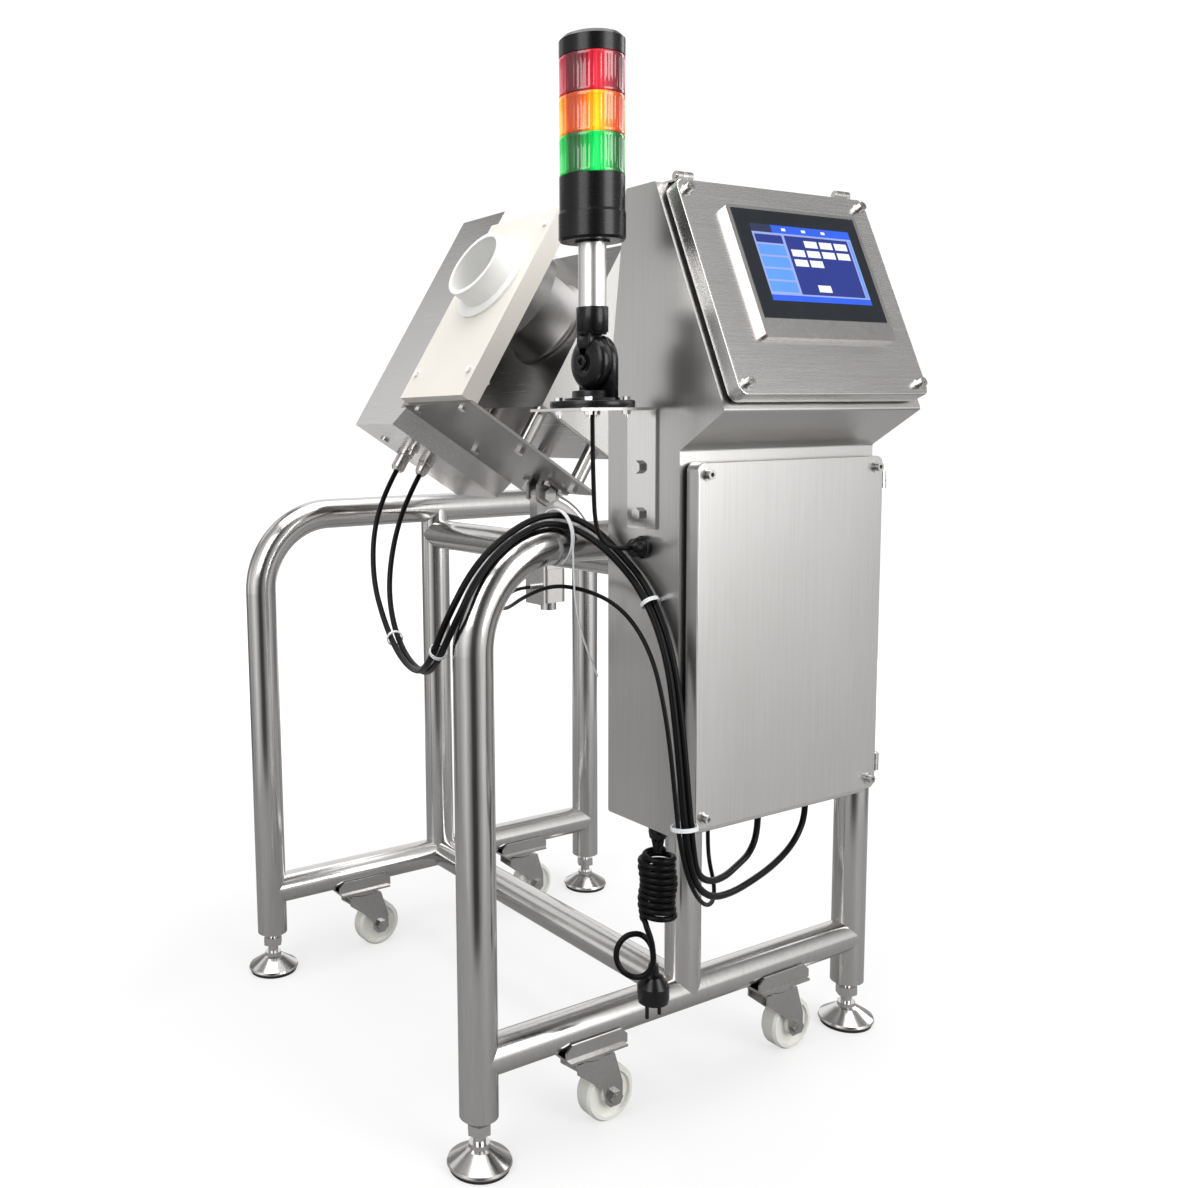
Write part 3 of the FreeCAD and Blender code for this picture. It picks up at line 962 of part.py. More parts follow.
for i, tool in enumerate(link_holes):
    case_tools.append(rod(f"case_link_hole_{i}", "bolt / 2 + run_gap", "20",
                          (f"-ring_back + {24 if i % 2 == 0 else 100}", "case_deep / 2 - 10", "130" if i < 2 else "310"),
                          "Y"))
node("coil_case", on_head(group("coil_case", (cut("coil_case_shell", case_round, *case_tools),))))

windings = []
for i in (-1, 0, 1):
    windings.append(ring(f"coil_{i + 1}", "coil_ring / 2", "pipe_outer / 2", "coil_wide",
                         (f"{case_mid} + {i} * coil_step - coil_wide / 2", "0", "pipe_up"), "X"))
node("coil_windings", on_head(group("coil_windings", windings)))

pipe_start = "(-inlet_at - pipe_mouth)"
pipe = ring("pipe_tube", "pipe_outer / 2", "pipe_inner / 2",
            "inlet_at + pipe_mouth - ring_back + case_long + pipe_exit", (pipe_start, "0", "pipe_up"), "X")
collar_ring = ring("pipe_collar", "boss_wide / 2", "pipe_inner / 2", "boss_rise",
                   ("-inlet_at - boss_rise", "0", "pipe_up"), "X")
pipe_end = "(case_long - ring_back + pipe_exit)"
spigot_waste = ring("pipe_spigot_waste", "pipe_outer / 2 + 4", "pipe_spigot / 2", "pipe_exit + 1",
                    (f"{pipe_end} - pipe_exit", "0", "pipe_up"), "X")
node("aperture_pipe", on_head(group("aperture_pipe", (cut("pipe_body", fuse("pipe_and_collar", pipe, collar_ring),
                                                          spigot_waste),))))

plate_bores = [rod(f"inlet_bore_{name}", "pipe_outer / 2 + run_gap", "80", ("-inlet_at - 20", "0", "pipe_up"), "X")
               for name in ("plate", "backing", "flange")]
inlet = box("inlet_sheet", ("inlet_thick", "inlet_deep", "inlet_tall"), ("-inlet_at", "-inlet_deep / 2", "inlet_low"))
backing_x = "(-inlet_at + inlet_thick)"
backing = box("backing_sheet", ("backing_thick", "inlet_deep", "inlet_tall + backing_rise"),
              (backing_x, "-inlet_deep / 2", "inlet_low"))
doc.recompute()
top_edges = edges_along(backing.Shape, Vector(1, 0, 0), low=(-9999, -9999, worth("inlet_low + inlet_tall")))
backing_round = soften("backing_round", backing, top_edges, 10)
inlet_holes = []
backing_holes = []
for i, (a, z) in enumerate(((-1, "60"), (1, "60"), (-1, "inlet_low + inlet_tall - 25"),
                            (1, "inlet_low + inlet_tall - 25"))):
    start = ("-inlet_at", f"{a} * (inlet_deep / 2 - 14)", z)
    head_bolts.append(bolt_through(f"inlet_bolt_{i}", "screw / 2", start, "inlet_thick + backing_thick", "X", 4, 5))
    inlet_holes.append(rod(f"inlet_hole_{i}", "screw / 2 + run_gap", "60", ("-inlet_at - 10", start[1], z), "X"))
    backing_holes.append(rod(f"backing_hole_{i}", "screw / 2 + run_gap", "60", ("-inlet_at - 10", start[1], z), "X"))
for i, a in enumerate((-1, 1)):
    start = (f"{backing_x} + backing_thick / 2", f"{a} * (inlet_deep / 2 - 25)", "plate_up")
    through = rod(f"foot_bolt_shank_{i}", "screw / 2", "28", start)
    head = hexagon(f"foot_bolt_head_{i}", "screw * 1.7", "5", (start[0], start[1], "plate_up - 5"))
    head_bolts.append(fuse(f"foot_bolt_{i}", through, head))
    plate_holes.append(rod(f"foot_hole_{i}", "screw / 2 + run_gap", "20", (start[0], start[1], "plate_up - 10")))
    backing_holes.append(rod(f"foot_thread_{i}", "screw / 2 + run_gap", "30", start))
node("inlet_plate", on_head(group("inlet_plate", (cut("inlet_slab", inlet, plate_bores[0], *inlet_holes),))))
backing_slab = cut("backing_slab", backing_round, plate_bores[1], *backing_holes)
flange_disc = rod("pipe_flange_disc", "flange_ring / 2", "flange_long", (f"{backing_x} + backing_thick", "0", "pipe_up"),
                  "X")
pipe_flange = cut("pipe_flange", flange_disc, plate_bores[2])
node("backing_plate", on_head(group("backing_plate", (backing_slab, pipe_flange))))

for i, (a, b) in enumerate(((-1, -1), (1, -1), (-1, 1), (1, 1))):
    start = (f"{a} * 14", f"{b} * ({lug_off} + 11)", "plate_up - 4")
    head_bolts.append(bolt_through(f"lug_bolt_{i}", "screw / 2", start, "plate_thick + 4", "Z", 5, 5))
    plate_holes.append(rod(f"lug_hole_{i}", "screw / 2 + run_gap", "30", (start[0], start[1], "plate_up - 15")))
lug_holes = [rod(f"lug_foot_hole_{i}", "screw / 2 + run_gap", "30", (f"{a} * 14", f"{b} * ({lug_off} + 11)", "plate_up - 15"))
             for i, (a, b) in enumerate(((-1, -1), (1, -1), (-1, 1), (1, 1)))]
tilt_lugs = [cut(f"tilt_lug_{side}", lug, *lug_holes[2 * i:2 * i + 2])
             for i, (side, lug) in enumerate(zip(("front", "rear"), tilt_lugs))]
node("support_plate", on_head(group("support_plate", (cut("support_slab", plate_box, *plate_holes), *tilt_lugs))))

box_low = "(-ebox_drop)"
box_outer = box("ebox_outer", ("ebox_long", "ebox_deep", "ebox_tall"), ("-ebox_long", "ebox_y", box_low))
box_inner = box("ebox_inner", ("ebox_long - 2 * ebox_sheet", "ebox_deep - 2 * ebox_sheet",
                               "ebox_tall - 2 * ebox_sheet"),
                ("-ebox_long + ebox_sheet", "ebox_y + ebox_sheet", f"{box_low} + ebox_sheet"))
box_mouth = box("ebox_mouth", ("ebox_long - 60", "20", "ebox_tall - 60"),
                ("-ebox_long + 30", "ebox_y + ebox_deep - 10", f"{box_low} + 30"))
wedge_side = (("plate_deep / 2", "plate_up"), ("ebox_y", "plate_up"), ("ebox_y", box_low))
wedge = slab("ebox_wedge", "YZ_Plane", wedge_side, "ebox_long", ("-ebox_long / 2", "0", "0"))
entry = (("plug", "-132", "205", "9"), ("gland", "-110", "170", "8.1"), ("fitting", "-150", "150", "5.1"))
entry_holes = [rod(f"entry_hole_{name}", radius, "20", (x, y, f"{box_low} - 10")) for name, x, y, radius in entry]
box_links = [rod(f"ebox_link_hole_{i}", "bolt / 2 + run_gap", "20",
                 (f"-ring_back + {24 if i % 2 == 0 else 100}", "ebox_y - 5", "130" if i < 2 else "310"), "Y")
             for i in range(4)]
node("electronics_box", on_head(group("electronics_box", (
    cut("ebox_shell", fuse("ebox_blank", box_outer, wedge), box_inner, box_mouth, *entry_holes, *box_links),))))
cover_outline = (("-ebox_long + cover_inset", "ebox_y + ebox_deep"), ("-cover_inset", "ebox_y + ebox_deep"),
                 ("-cover_inset", "ebox_y + ebox_deep + 2"), ("-cover_inset - 12", "ebox_y + ebox_deep + cover_rise"),
                 ("-ebox_long + cover_inset + 12", "ebox_y + ebox_deep + cover_rise"),
                 ("-ebox_long + cover_inset", "ebox_y + ebox_deep + 2"))
cover = slab("cover_blank", "XY_Plane", cover_outline, "ebox_tall - 2 * cover_inset",
             ("0", "0", f"{box_low} + ebox_tall / 2"))
cover_space = box("cover_space", ("ebox_long - 2 * cover_inset - 32", "cover_rise - ebox_sheet",
                                  "ebox_tall - 2 * cover_inset - 8"),
                  ("-ebox_long + cover_inset + 16", "ebox_y + ebox_deep", f"{box_low} + cover_inset + 4"))
node("electronics_cover", on_head(group("electronics_cover", (cut("cover_shell", cover, cover_space),))))
ebox_board = [box("ebox_board_sheet", ("160", "2", "240"), ("-ebox_long + 30", "ebox_y + ebox_sheet + 12", "60"))]
for i, (a, b) in enumerate(((8, 8), (152, 8), (8, 232), (152, 232))):
    ebox_board.append(rod(f"ebox_pillar_{i}", "4", "12", (f"-ebox_long + 30 + {a}", "ebox_y + ebox_sheet", f"60 + {b}"),
                          "Y"))
for i, (a, b, wide, tall, deep) in enumerate(((20, 30, 50, 60, 20), (90, 40, 40, 40, 6), (40, 130, 70, 60, 14))):
    ebox_board.append(box(f"ebox_chip_{i}", (str(wide), str(deep), str(tall)),
                          (f"-ebox_long + 30 + {a}", "ebox_y + ebox_sheet + 14", f"60 + {b}")))
node("electronics_board", on_head(group("electronics_board", (fuse("ebox_board", *ebox_board),))))

connector_body = (("0", "2.5"), ("9", "2.5"), ("9", "0"), ("13", "0"), ("13", "-4"), ("11", "-5"), ("11", "-26"),
                  ("8", "-31"), ("0", "-31"))
gland_body = (("0", "2.5"), ("8", "2.5"), ("8", "0"), ("12", "0"), ("12", "-5"), ("10.5", "-6"), ("10.5", "-13"),
              ("9.5", "-20"), ("6.5", "-25"), ("0", "-25"))
fitting_body = (("0", "2.5"), ("5", "2.5"), ("5", "0"), ("8", "0"), ("8", "-5"), ("5", "-6"), ("5", "-13"), ("0", "-13"))
entries = []
for (name, x, y, radius), points in zip(entry, (connector_body, gland_body, fitting_body)):
    entries.append(turned(f"head_{name}", points, (x, y, box_low)))
entries.append(rod("vent_plug", "7", "3", ("-175", "205", f"{box_low} - 3")))
node("head_connectors", on_head(group("head_connectors", entries)))
node("head_bolts", on_head(group("head_bolts", head_bolts)))

# Air valve below the upper cross bar, with its saddle

valve_saddle = box("valve_saddle_blank", ("26", "30", "32"), ("sensor_x - 13", "stand_y + sensor_y - 15", "valve_top"))
valve_cope = rod("valve_cope", "tube / 2", "60", ("0", "stand_y + sensor_y - 30", "cross_bar_z"), "Y")
saddle = cut("valve_saddle", valve_saddle, valve_cope)
valve_box = box("valve_body_blank", ("44", "36", "50"), ("sensor_x - 22", "stand_y + sensor_y - 18", "valve_top - 50"))
doc.recompute()
valve_body = soften("valve_body_round", valve_box, edges_along(valve_box.Shape, Vector(0, 0, 1)), 10)
valve_plate = box("valve_plate", ("3", "46", "62"), ("sensor_x - 25", "stand_y + sensor_y - 23", "valve_top - 52"))
valve_knob = rod("valve_knob", "12", "12", ("sensor_x", "stand_y + sensor_y", "valve_top - 62"))
valve_port = rod("valve_port", "7", "12", ("sensor_x - 37", "stand_y + sensor_y", "valve_top - 26"), "X")
node("air_valve", group("air_valve", (saddle, fuse("valve_body", valve_body, valve_plate, valve_knob, valve_port))))

# Cables: straight runs joined by tangent arcs, each arc as large as its two runs allow


def tube_along(name, points, diameter):
    """A round cable along a route given from the middle of the stand on the floor."""
    offset = Vector(0, worth("stand_y"), 0)
    spots = [Vector(*point) + offset for point in points]
    edges = []
    radii = []
    length = 0.0
    start = spots[0]
    for before, corner, after in zip(spots, spots[1:], spots[2:]):
        back = (before - corner)
        ahead = (after - corner)
        reach = 0.45 * min(back.Length, ahead.Length)
        turn = math.pi - back.getAngle(ahead)
        radius = reach / math.tan(turn / 2)
        back.normalize()
        ahead.normalize()
        first = corner + back * reach
        last = corner + ahead * reach
        middle_way = (back + ahead).normalize()
        middle = corner + middle_way * (radius / math.cos(turn / 2) - radius)
        edges.append(Part.LineSegment(start, first).toShape())
        edges.append(Part.Arc(first, middle, last).toShape())
        length += (first - start).Length + radius * turn
        radii.append(radius)
        start = last
    edges.append(Part.LineSegment(start, spots[-1]).toShape())
    length += (spots[-1] - start).Length
    radius = worth(diameter) / 2
    ring_edge = Part.Circle(spots[0], spots[1] - spots[0], radius).toShape()
    solid = Part.Wire(edges).makePipeShell([Part.Wire([ring_edge])], True, True)
    exact = math.pi * radius ** 2 * length
    print(f"{name}: length {length:.0f}, smallest radius {min(radii):.0f}, "
          f"volume ratio {solid.Volume / exact:.4f}")
    item = doc.addObject("Part::Feature", name)
    item.Shape = solid
    return item


rear_cable_route = (
    (-134.6, 205, 821.4), (-159.8, 205, 781.8), (-200, 165, 725), (-240, 90, 665), (-272, 0, 622), (-300, -90, 592),
    (-325, -180, 585), (-353, -262, 612), (-362, -315, 672), (-315.8, -315, 741.8), (-245.5, -315, 783),
    (-199, -324, 787), (-178, -358, 769), (-170, -394, 741), (-170, -432, 715), (-170, -462, 677),
    (-170, -482, 632), (-170, -493, 582), (-170, -501, 530), (-170, -508, 476), (-168, -512, 430),
    (-155, -505, 393), (-122, -490, 371), (-80, -472, 362), (-36, -450, 361), (0, -433, 362), (22, -425, 382),
    (22, -425, 412))
front_cable_route = (
    (-112.8, 170, 814.6), (-136.4, 170, 777.5), (-182, 130, 722), (-227, 68, 664), (-262.8, -8, 620), (-290.8, -92, 590),
    (-315.8, -182, 583), (-343, -260, 608), (-361, -331, 668), (-312.3, -324.8, 738.3), (-244.3, -324.8, 777.7),
    (-206, -333, 775), (-187, -360, 760), (-179, -396, 736), (-179, -434, 709), (-179, -464, 672),
    (-179, -484, 627), (-179, -494, 577), (-179, -502, 525), (-179, -509, 472), (-178, -515, 425),
    (-164, -512, 385), (-127, -498, 356), (-78, -481, 345), (-28, -464, 343), (22, -448, 345), (66, -434, 353),
    (92, -427, 367), (106, -425, 389), (106, -425, 412))
valve_cable_route = (
    (-37, -16, 651), (-62, -16, 651), (-100, -45, 641), (-142, -100, 640), (-178, -170, 652), (-200, -240, 678),
    (-205, -305, 700), (-196, -352, 700), (-188, -398, 690), (-188, -440, 668), (-188, -470, 632),
    (-188, -487, 586), (-188, -498, 538), (-188, -506, 486), (-187, -513, 434), (-174, -516, 386),
    (-142, -503, 352), (-104, -479, 338), (-76, -452, 345), (-64, -430, 364), (-62, -425, 388), (-62, -425, 410))
cable_drop = worth("shelf_z + 13") - 753
tower_cable_route = [(a, b, 753 + cable_drop * c / 169) for a, b, c in (
    (-235, -422, 169), (-235, -422, 119), (-232, -420, 72), (-231, -421, 32), (-224, -424, 9), (-203, -425, 0),
    (-183, -425, 0))]
node("head_cables", group("head_cables", (tube_along("rear_head_cable", rear_cable_route, "cable"),
                                          tube_along("front_head_cable", front_cable_route, "cable"))))
node("frame_cables", group("frame_cables", (tube_along("valve_cable", valve_cable_route, "wire"),
                                            tube_along("tower_cable", tower_cable_route, "wire"))))

# Mains lead: out of its gland into a tied hank, with the plug hanging below it

lead_x = "cab_x - 133"
lead_y = f"{cab_back} + {gland_y}"
lead_loop_route = (
    (-161.1, -432.8, 305.2), (-158.7, -436.6, 284), (-157, -437.6, 260), (-164.9, -429.4, 244), (-178.2, -416.6, 243),
    (-187.2, -406.5, 256), (-186.5, -403.4, 275), (-174.7, -407, 290), (-158.8, -415.5, 292), (-149.1, -422.5, 280),
    (-147, -425, 266), (-147, -425, 254))
node("mains_lead", group("mains_lead", (
    rod("mains_drop", "lead / 2", "cab_z - 14 - hank_top", (lead_x, lead_y, "hank_top")),
    tube_along("lead_loop", lead_loop_route, "lead"))))
hank_outline = (("0", "hank_low"), ("hank_wide / 2 - 3", "hank_low"), ("hank_wide / 2", "hank_low + 3"),
                ("hank_wide / 2", "hank_top - 3"), ("hank_wide / 2 - 3", "hank_top"), ("0", "hank_top"))
node("mains_hank", turned("mains_hank", hank_outline, (lead_x, lead_y, "0")))
plug_outline = (("0", "plug_top - 46"), ("18", "plug_top - 46"), ("19", "plug_top - 40"), ("19", "plug_top - 26"),
                ("11", "plug_top - 14"), ("7", "plug_top - 12"), ("6", "plug_top"), ("0", "plug_top"))
plug = turned("plug_body", plug_outline, (f"{lead_x} - 6", lead_y, "0"))
pins = [rod(f"plug_pin_{i}", "2.4", "20", (f"{lead_x} - 6 + {a}", lead_y, "plug_top - 65")) for i, a in
        enumerate((-9.5, 9.5))]
node("mains_plug", fuse("mains_plug", plug, *pins))

# White cable ties around the bundle, one of them also around the top bar


def tie_band(name, middle, way, inner, outer=1.3, wide=4.5):
    """A round band about a point, square to a direction."""
    item = ring(name, f"{inner} + {outer}", str(inner), str(wide), ("0", "0", f"-{wide / 2}"))
    item.Placement = Placement(Vector(*middle) + Vector(0, worth("stand_y"), 0), Rotation(Vector(0, 0, 1), Vector(*way)))
    return item


ties = [tie_band("tie_loop", (-281.9, -49, 605.5), (-28, -88, -30), 9.8),
        tie_band("tie_bend", (-352.7, -283, 631.6), (-13, -62, 60), 9.4),
        tie_band("tie_bar", (-208, -317.5, 759), (1, 0, 0), 32.7),
        tie_band("tie_side", (-174.5, -448, 693.2), (0, -30, -38), 9.8),
        tie_band("tie_low", (-178.3, -510.8, 452), (0, -5, -46), 13.9),
        tube_along("tie_tail", ((-208, -350.7, 760), (-207, -350.4, 725), (-202, -347, 680), (-188, -345, 635),
                                (-166, -344, 590)), "2.2")]
node("cable_ties", group("cable_ties", ties))

# Every object is sound before anything is written

doc.recompute()
faults = [item.Name for item in doc.Objects if {"Invalid", "Error"} & set(item.State)]
for label, item in nodes.items():
    if item.Shape.isNull() or not item.Shape.isValid() or not item.Shape.Solids:
        faults.append(label)
if faults:
    raise RuntimeError("faulty: " + ", ".join(faults))
whole = FreeCAD.BoundBox()
for label, item in nodes.items():
    item.Shape.exportStep(f"parts/{label}.step")
    whole.add(item.Shape.optimalBoundingBox(False, False))
print(len(nodes), "nodes,", sum(len(item.Shape.Solids) for item in nodes.values()), "solids")
print("box", [round(value, 1) for value in (whole.XMin, whole.XMax, whole.YMin, whole.YMax, whole.ZMin, whole.ZMax)])
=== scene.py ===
import math

import bpy
from mathutils import Matrix, Vector


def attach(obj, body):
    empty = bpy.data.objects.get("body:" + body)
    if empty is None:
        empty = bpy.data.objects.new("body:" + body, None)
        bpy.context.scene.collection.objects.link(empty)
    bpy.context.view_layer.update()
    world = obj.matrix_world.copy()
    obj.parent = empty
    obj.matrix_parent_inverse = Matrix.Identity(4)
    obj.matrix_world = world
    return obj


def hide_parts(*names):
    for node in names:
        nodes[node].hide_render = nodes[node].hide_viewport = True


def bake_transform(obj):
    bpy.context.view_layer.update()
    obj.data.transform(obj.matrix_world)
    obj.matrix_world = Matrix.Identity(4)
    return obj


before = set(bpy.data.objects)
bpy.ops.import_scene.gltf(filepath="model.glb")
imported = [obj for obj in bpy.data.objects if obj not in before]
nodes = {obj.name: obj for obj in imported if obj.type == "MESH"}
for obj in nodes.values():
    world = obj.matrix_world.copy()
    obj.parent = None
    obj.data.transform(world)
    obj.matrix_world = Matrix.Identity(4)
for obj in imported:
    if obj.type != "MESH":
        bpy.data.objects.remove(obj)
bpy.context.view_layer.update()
scene = bpy.context.scene
scene.view_settings.view_transform = "Standard"

# Camera, at the photograph's place

CAMERA_PLACE = Vector((-1.05059, -1.35214, 0.89561))
YAW, PITCH, ROLL = 0.54455, 0.11781, -0.01555
forward = Vector((math.sin(YAW) * math.cos(PITCH), math.cos(YAW) * math.cos(PITCH), -math.sin(PITCH)))
level = Vector((math.cos(YAW), -math.sin(YAW), 0))
upward = level.cross(forward)
across = math.cos(ROLL) * level + math.sin(ROLL) * upward
upward = math.cos(ROLL) * upward - math.sin(ROLL) * level
camera_data = bpy.data.cameras.new("camera")
camera_data.sensor_width = 36
camera_data.lens = 36.23
camera_data.shift_x = 0.1233
camera_data.shift_y = -0.0249
camera_data.clip_start = 0.05
camera_data.clip_end = 60
camera = bpy.data.objects.new("camera", camera_data)
scene.collection.objects.link(camera)
turn = Matrix((across, upward, -forward)).transposed().to_4x4()
camera.matrix_world = Matrix.Translation(CAMERA_PLACE) @ turn
scene.camera = camera


# Shaders: each one starts from the object's own coordinates, in metres


class Finish:
    """A material with one main shader, and the patterns that feed it."""

    def __init__(self, name, color, roughness, metallic=0.0, **more):
        self.material = bpy.data.materials.new(name)
        self.material.use_nodes = True
        self.tree = self.material.node_tree
        self.shader = self.tree.nodes["Principled BSDF"]
        self.shader.inputs["Base Color"].default_value = (*color, 1)
        self.shader.inputs["Roughness"].default_value = roughness
        self.shader.inputs["Metallic"].default_value = metallic
        for key, value in more.items():
            self.shader.inputs[key.replace("_", " ")].default_value = value
        self.place = self.tree.nodes.new("ShaderNodeTexCoord").outputs["Object"]

    def node(self, kind, **values):
        made = self.tree.nodes.new("ShaderNode" + kind)
        for key, value in values.items():
            setattr(made, key, value)
        return made

    def stretched(self, scale):
        mapping = self.node("Mapping")
        mapping.inputs["Scale"].default_value = scale
        self.tree.links.new(self.place, mapping.inputs["Vector"])
        return mapping.outputs["Vector"]

    def noise(self, scale, detail=3.0, rough=0.55):
        made = self.node("TexNoise")
        made.inputs["Scale"].default_value = 1.0
        made.inputs["Detail"].default_value = detail
        made.inputs["Roughness"].default_value = rough
        self.tree.links.new(self.stretched(scale), made.inputs["Vector"])
        return made.outputs["Fac"]

    def spread(self, source, low, high, start=0.3, end=0.7):
        """A value that goes from low to high as the source goes from start to end."""
        made = self.node("MapRange", clamp=True)
        made.inputs["From Min"].default_value = start
        made.inputs["From Max"].default_value = end
        made.inputs["To Min"].default_value = low
        made.inputs["To Max"].default_value = high
        self.tree.links.new(source, made.inputs["Value"])
        return made.outputs["Result"]

    def ramp(self, source, *stops):
        made = self.node("ValToRGB")
        while len(made.color_ramp.elements) < len(stops):
            made.color_ramp.elements.new(0.5)
        for element, (place, color) in zip(made.color_ramp.elements, stops):
            element.position = place
            element.color = (*color, 1)
        self.tree.links.new(source, made.inputs["Fac"])
        return made.outputs["Color"]

    def math(self, operation, first, second=None):
        made = self.node("Math", operation=operation)
        for socket, value in zip(made.inputs, (first, second)):
            if isinstance(value, (int, float)):
                socket.default_value = value
            elif value is not None:
                self.tree.links.new(value, socket)
        return made.outputs["Value"]

    def feed(self, name, source):
        self.tree.links.new(source, self.shader.inputs[name])

    def relief(self, height, strength, distance):
        made = self.node("Bump")
        made.inputs["Strength"].default_value = strength
        made.inputs["Distance"].default_value = distance
        self.tree.links.new(height, made.inputs["Height"])
        self.tree.links.new(made.outputs["Normal"], self.shader.inputs["Normal"])


GRAIN_DEPTH = 0.0004


def steel(name, tone, rough, fine, coarse, strength, warm=0.97):
    """Brushed or satin metal. fine and coarse are the grain's and the clouds' scale along each axis."""
    made = Finish(name, (tone, tone, tone), rough, 1.0)
    grain = made.noise(fine, 2.0, 0.6)
    cloud = made.noise(coarse, 3.0, 0.6)
    both = made.math("ADD", made.math("MULTIPLY", grain, 0.55), made.math("MULTIPLY", cloud, 0.45))
    dark = (tone * 0.93, tone * 0.925 * warm, tone * 0.91 * warm)
    light = (min(tone * 1.05, 1), min(tone * 1.045, 1), min(tone * 1.03, 1))
    made.feed("Base Color", made.ramp(both, (0.32, dark), (0.68, light)))
    made.feed("Roughness", made.spread(both, rough * 0.92, rough * 1.1))
    made.relief(grain, strength, GRAIN_DEPTH)
    return made.material


def dull(name, color, rough, scale, depth, shade=0.85, **more):
    """Plastic, rubber or board with a fine moulded surface, shaded in soft clouds."""
    made = Finish(name, color, rough, **more)
    grain = made.noise((scale, scale, scale), 4.0, 0.6)
    cloud = made.noise((9, 9, 9), 2.0, 0.5)
    darker = tuple(value * shade for value in color)
    made.feed("Base Color", made.ramp(cloud, (0.3, darker), (0.7, color)))
    made.feed("Roughness", made.spread(grain, max(rough - 0.08, 0.02), min(rough + 0.1, 1)))
    made.relief(grain, depth, GRAIN_DEPTH)
    return made.material


TUBE = steel("tube_steel", 0.62, 0.17, (300, 300, 16), (11, 11, 4), 0.014)
UPRIGHT_SHEET = steel("sheet_upright_grain", 0.66, 0.3, (900, 900, 8), (3.5, 3.5, 2.2), 0.018)
CROSS_SHEET = steel("sheet_cross_grain", 0.66, 0.27, (8, 900, 900), (1.8, 2.6, 2.6), 0.01)
HEAD_SHEET = steel("head_sheet", 0.64, 0.26, (900, 8, 900), (2.4, 1.6, 2.4), 0.006)
PLATE = steel("support_sheet", 0.40, 0.3, (900, 8, 900), (5, 3, 5), 0.035)
STRAP = steel("strap_steel", 0.72, 0.16, (700, 700, 10), (9, 9, 4), 0.03)
BRIGHT = steel("bright_steel", 0.74, 0.16, (300, 300, 300), (60, 60, 60), 0.03)
TURNED = steel("turned_steel", 0.68, 0.17, (60, 60, 900), (20, 20, 20), 0.06)
ZINC = steel("zinc_plate", 0.54, 0.2, (180, 180, 180), (25, 25, 25), 0.08)
POLE = steel("pole_aluminium", 0.86, 0.34, (500, 500, 12), (12, 12, 12), 0.02, 1.0)
NICKEL = steel("nickel_brass", 0.62, 0.24, (300, 300, 300), (40, 40, 40), 0.05, 0.93)
# The flange's grey steel, made dark as painted shade for the place behind the inlet board
FLANGE_STEEL_AND_SHADE = steel("flange_steel_and_painted_shade", 0.30, 0.42, (240, 240, 240), (30, 30, 30), 0.08, 0.95)
BLACK = dull("black_plastic", (0.006, 0.006, 0.007), 0.24, 900, 0.05, Specular_IOR_Level=0.32)
RUBBER = dull("black_rubber", (0.005, 0.005, 0.006), 0.34, 700, 0.06, Specular_IOR_Level=0.12)
PAD = dull("foot_rubber", (0.02, 0.02, 0.021), 0.7, 500, 0.25)
NYLON = dull("white_nylon", (0.88, 0.88, 0.865), 0.36, 300, 0.08, 0.94)
WHEEL = dull("wheel_nylon", (0.86, 0.86, 0.80), 0.4, 260, 0.10, 0.90)
TIE = dull("tie_nylon", (0.80, 0.82, 0.84), 0.35, 500, 0.08, 0.92)
CREAM = dull("inlet_board", (0.78, 0.75, 0.69), 0.45, 160, 0.10, 0.95)
LAVENDER = dull("backing_board", (0.62, 0.62, 0.63), 0.5, 160, 0.10, 0.93)
BOARD = dull("circuit_board", (0.02, 0.14, 0.06), 0.4, 500, 0.2)
COPPER = dull("copper_wire", (0.72, 0.32, 0.14), 0.3, 900, 0.2, 0.8, Metallic=1.0)
GLASS = dull("panel_glass", (0.014, 0.018, 0.023), 0.1, 60, 0.01, 0.8, Specular_IOR_Level=0.35)
GLOW = dull("lamp_core", (0.92, 0.92, 0.88), 0.4, 300, 0.05, 0.95)

for material, names in (
    (TUBE, ("rear_u_frame", "front_u_frame", "lower_bars", "middle_frame")),
    (ZINC, ("castor_mounts", "mounting_plate", "castor_fork_1", "castor_fork_2", "castor_fork_3", "castor_fork_4")),
    (UPRIGHT_SHEET, ("cabinet_shell", "cabinet_door", "cabinet_brackets")),
    (CROSS_SHEET, ("display_door",)),
    (HEAD_SHEET, ("coil_case", "electronics_box", "electronics_cover")),
    (PLATE, ("support_plate",)),
    (BRIGHT, ("frame_bolts", "hinge_leaves", "air_valve", "cabinet_door_screws", "display_door_screws",
              "hmi_unit", "head_standoffs", "head_bolts")),
    (BLACK, ("cabinet_glands", "tower_foot", "tower_arm", "tower_base", "tower_cap", "mains_plug")),
    (RUBBER, ("cabinet_door_seal", "display_door_seal")),
    (BOARD, ("cabinet_electronics", "electronics_board")),
    (TIE, ("cable_ties",)),
    (GLASS, ("hmi_glass",)),
    (POLE, ("tower_pole",)),
    (GLOW, ("lamp_cores",)),
    (COPPER, ("coil_windings",)),
    (NYLON, ("aperture_pipe",)),
    (CREAM, ("inlet_plate",)),
    (LAVENDER, ("backing_plate",)),
    (NICKEL, ("head_connectors",)),
    (WHEEL, ("castor_wheel_1", "castor_wheel_2", "castor_wheel_3", "castor_wheel_4")),
    (TURNED, ("levelling_foot_1", "levelling_foot_2", "levelling_foot_3", "levelling_foot_4")),
):
    for name in names:
        mesh = nodes[name].data
        if mesh.materials:
            for slot in nodes[name].material_slots:
                slot.material = material
        else:
            mesh.materials.append(material)

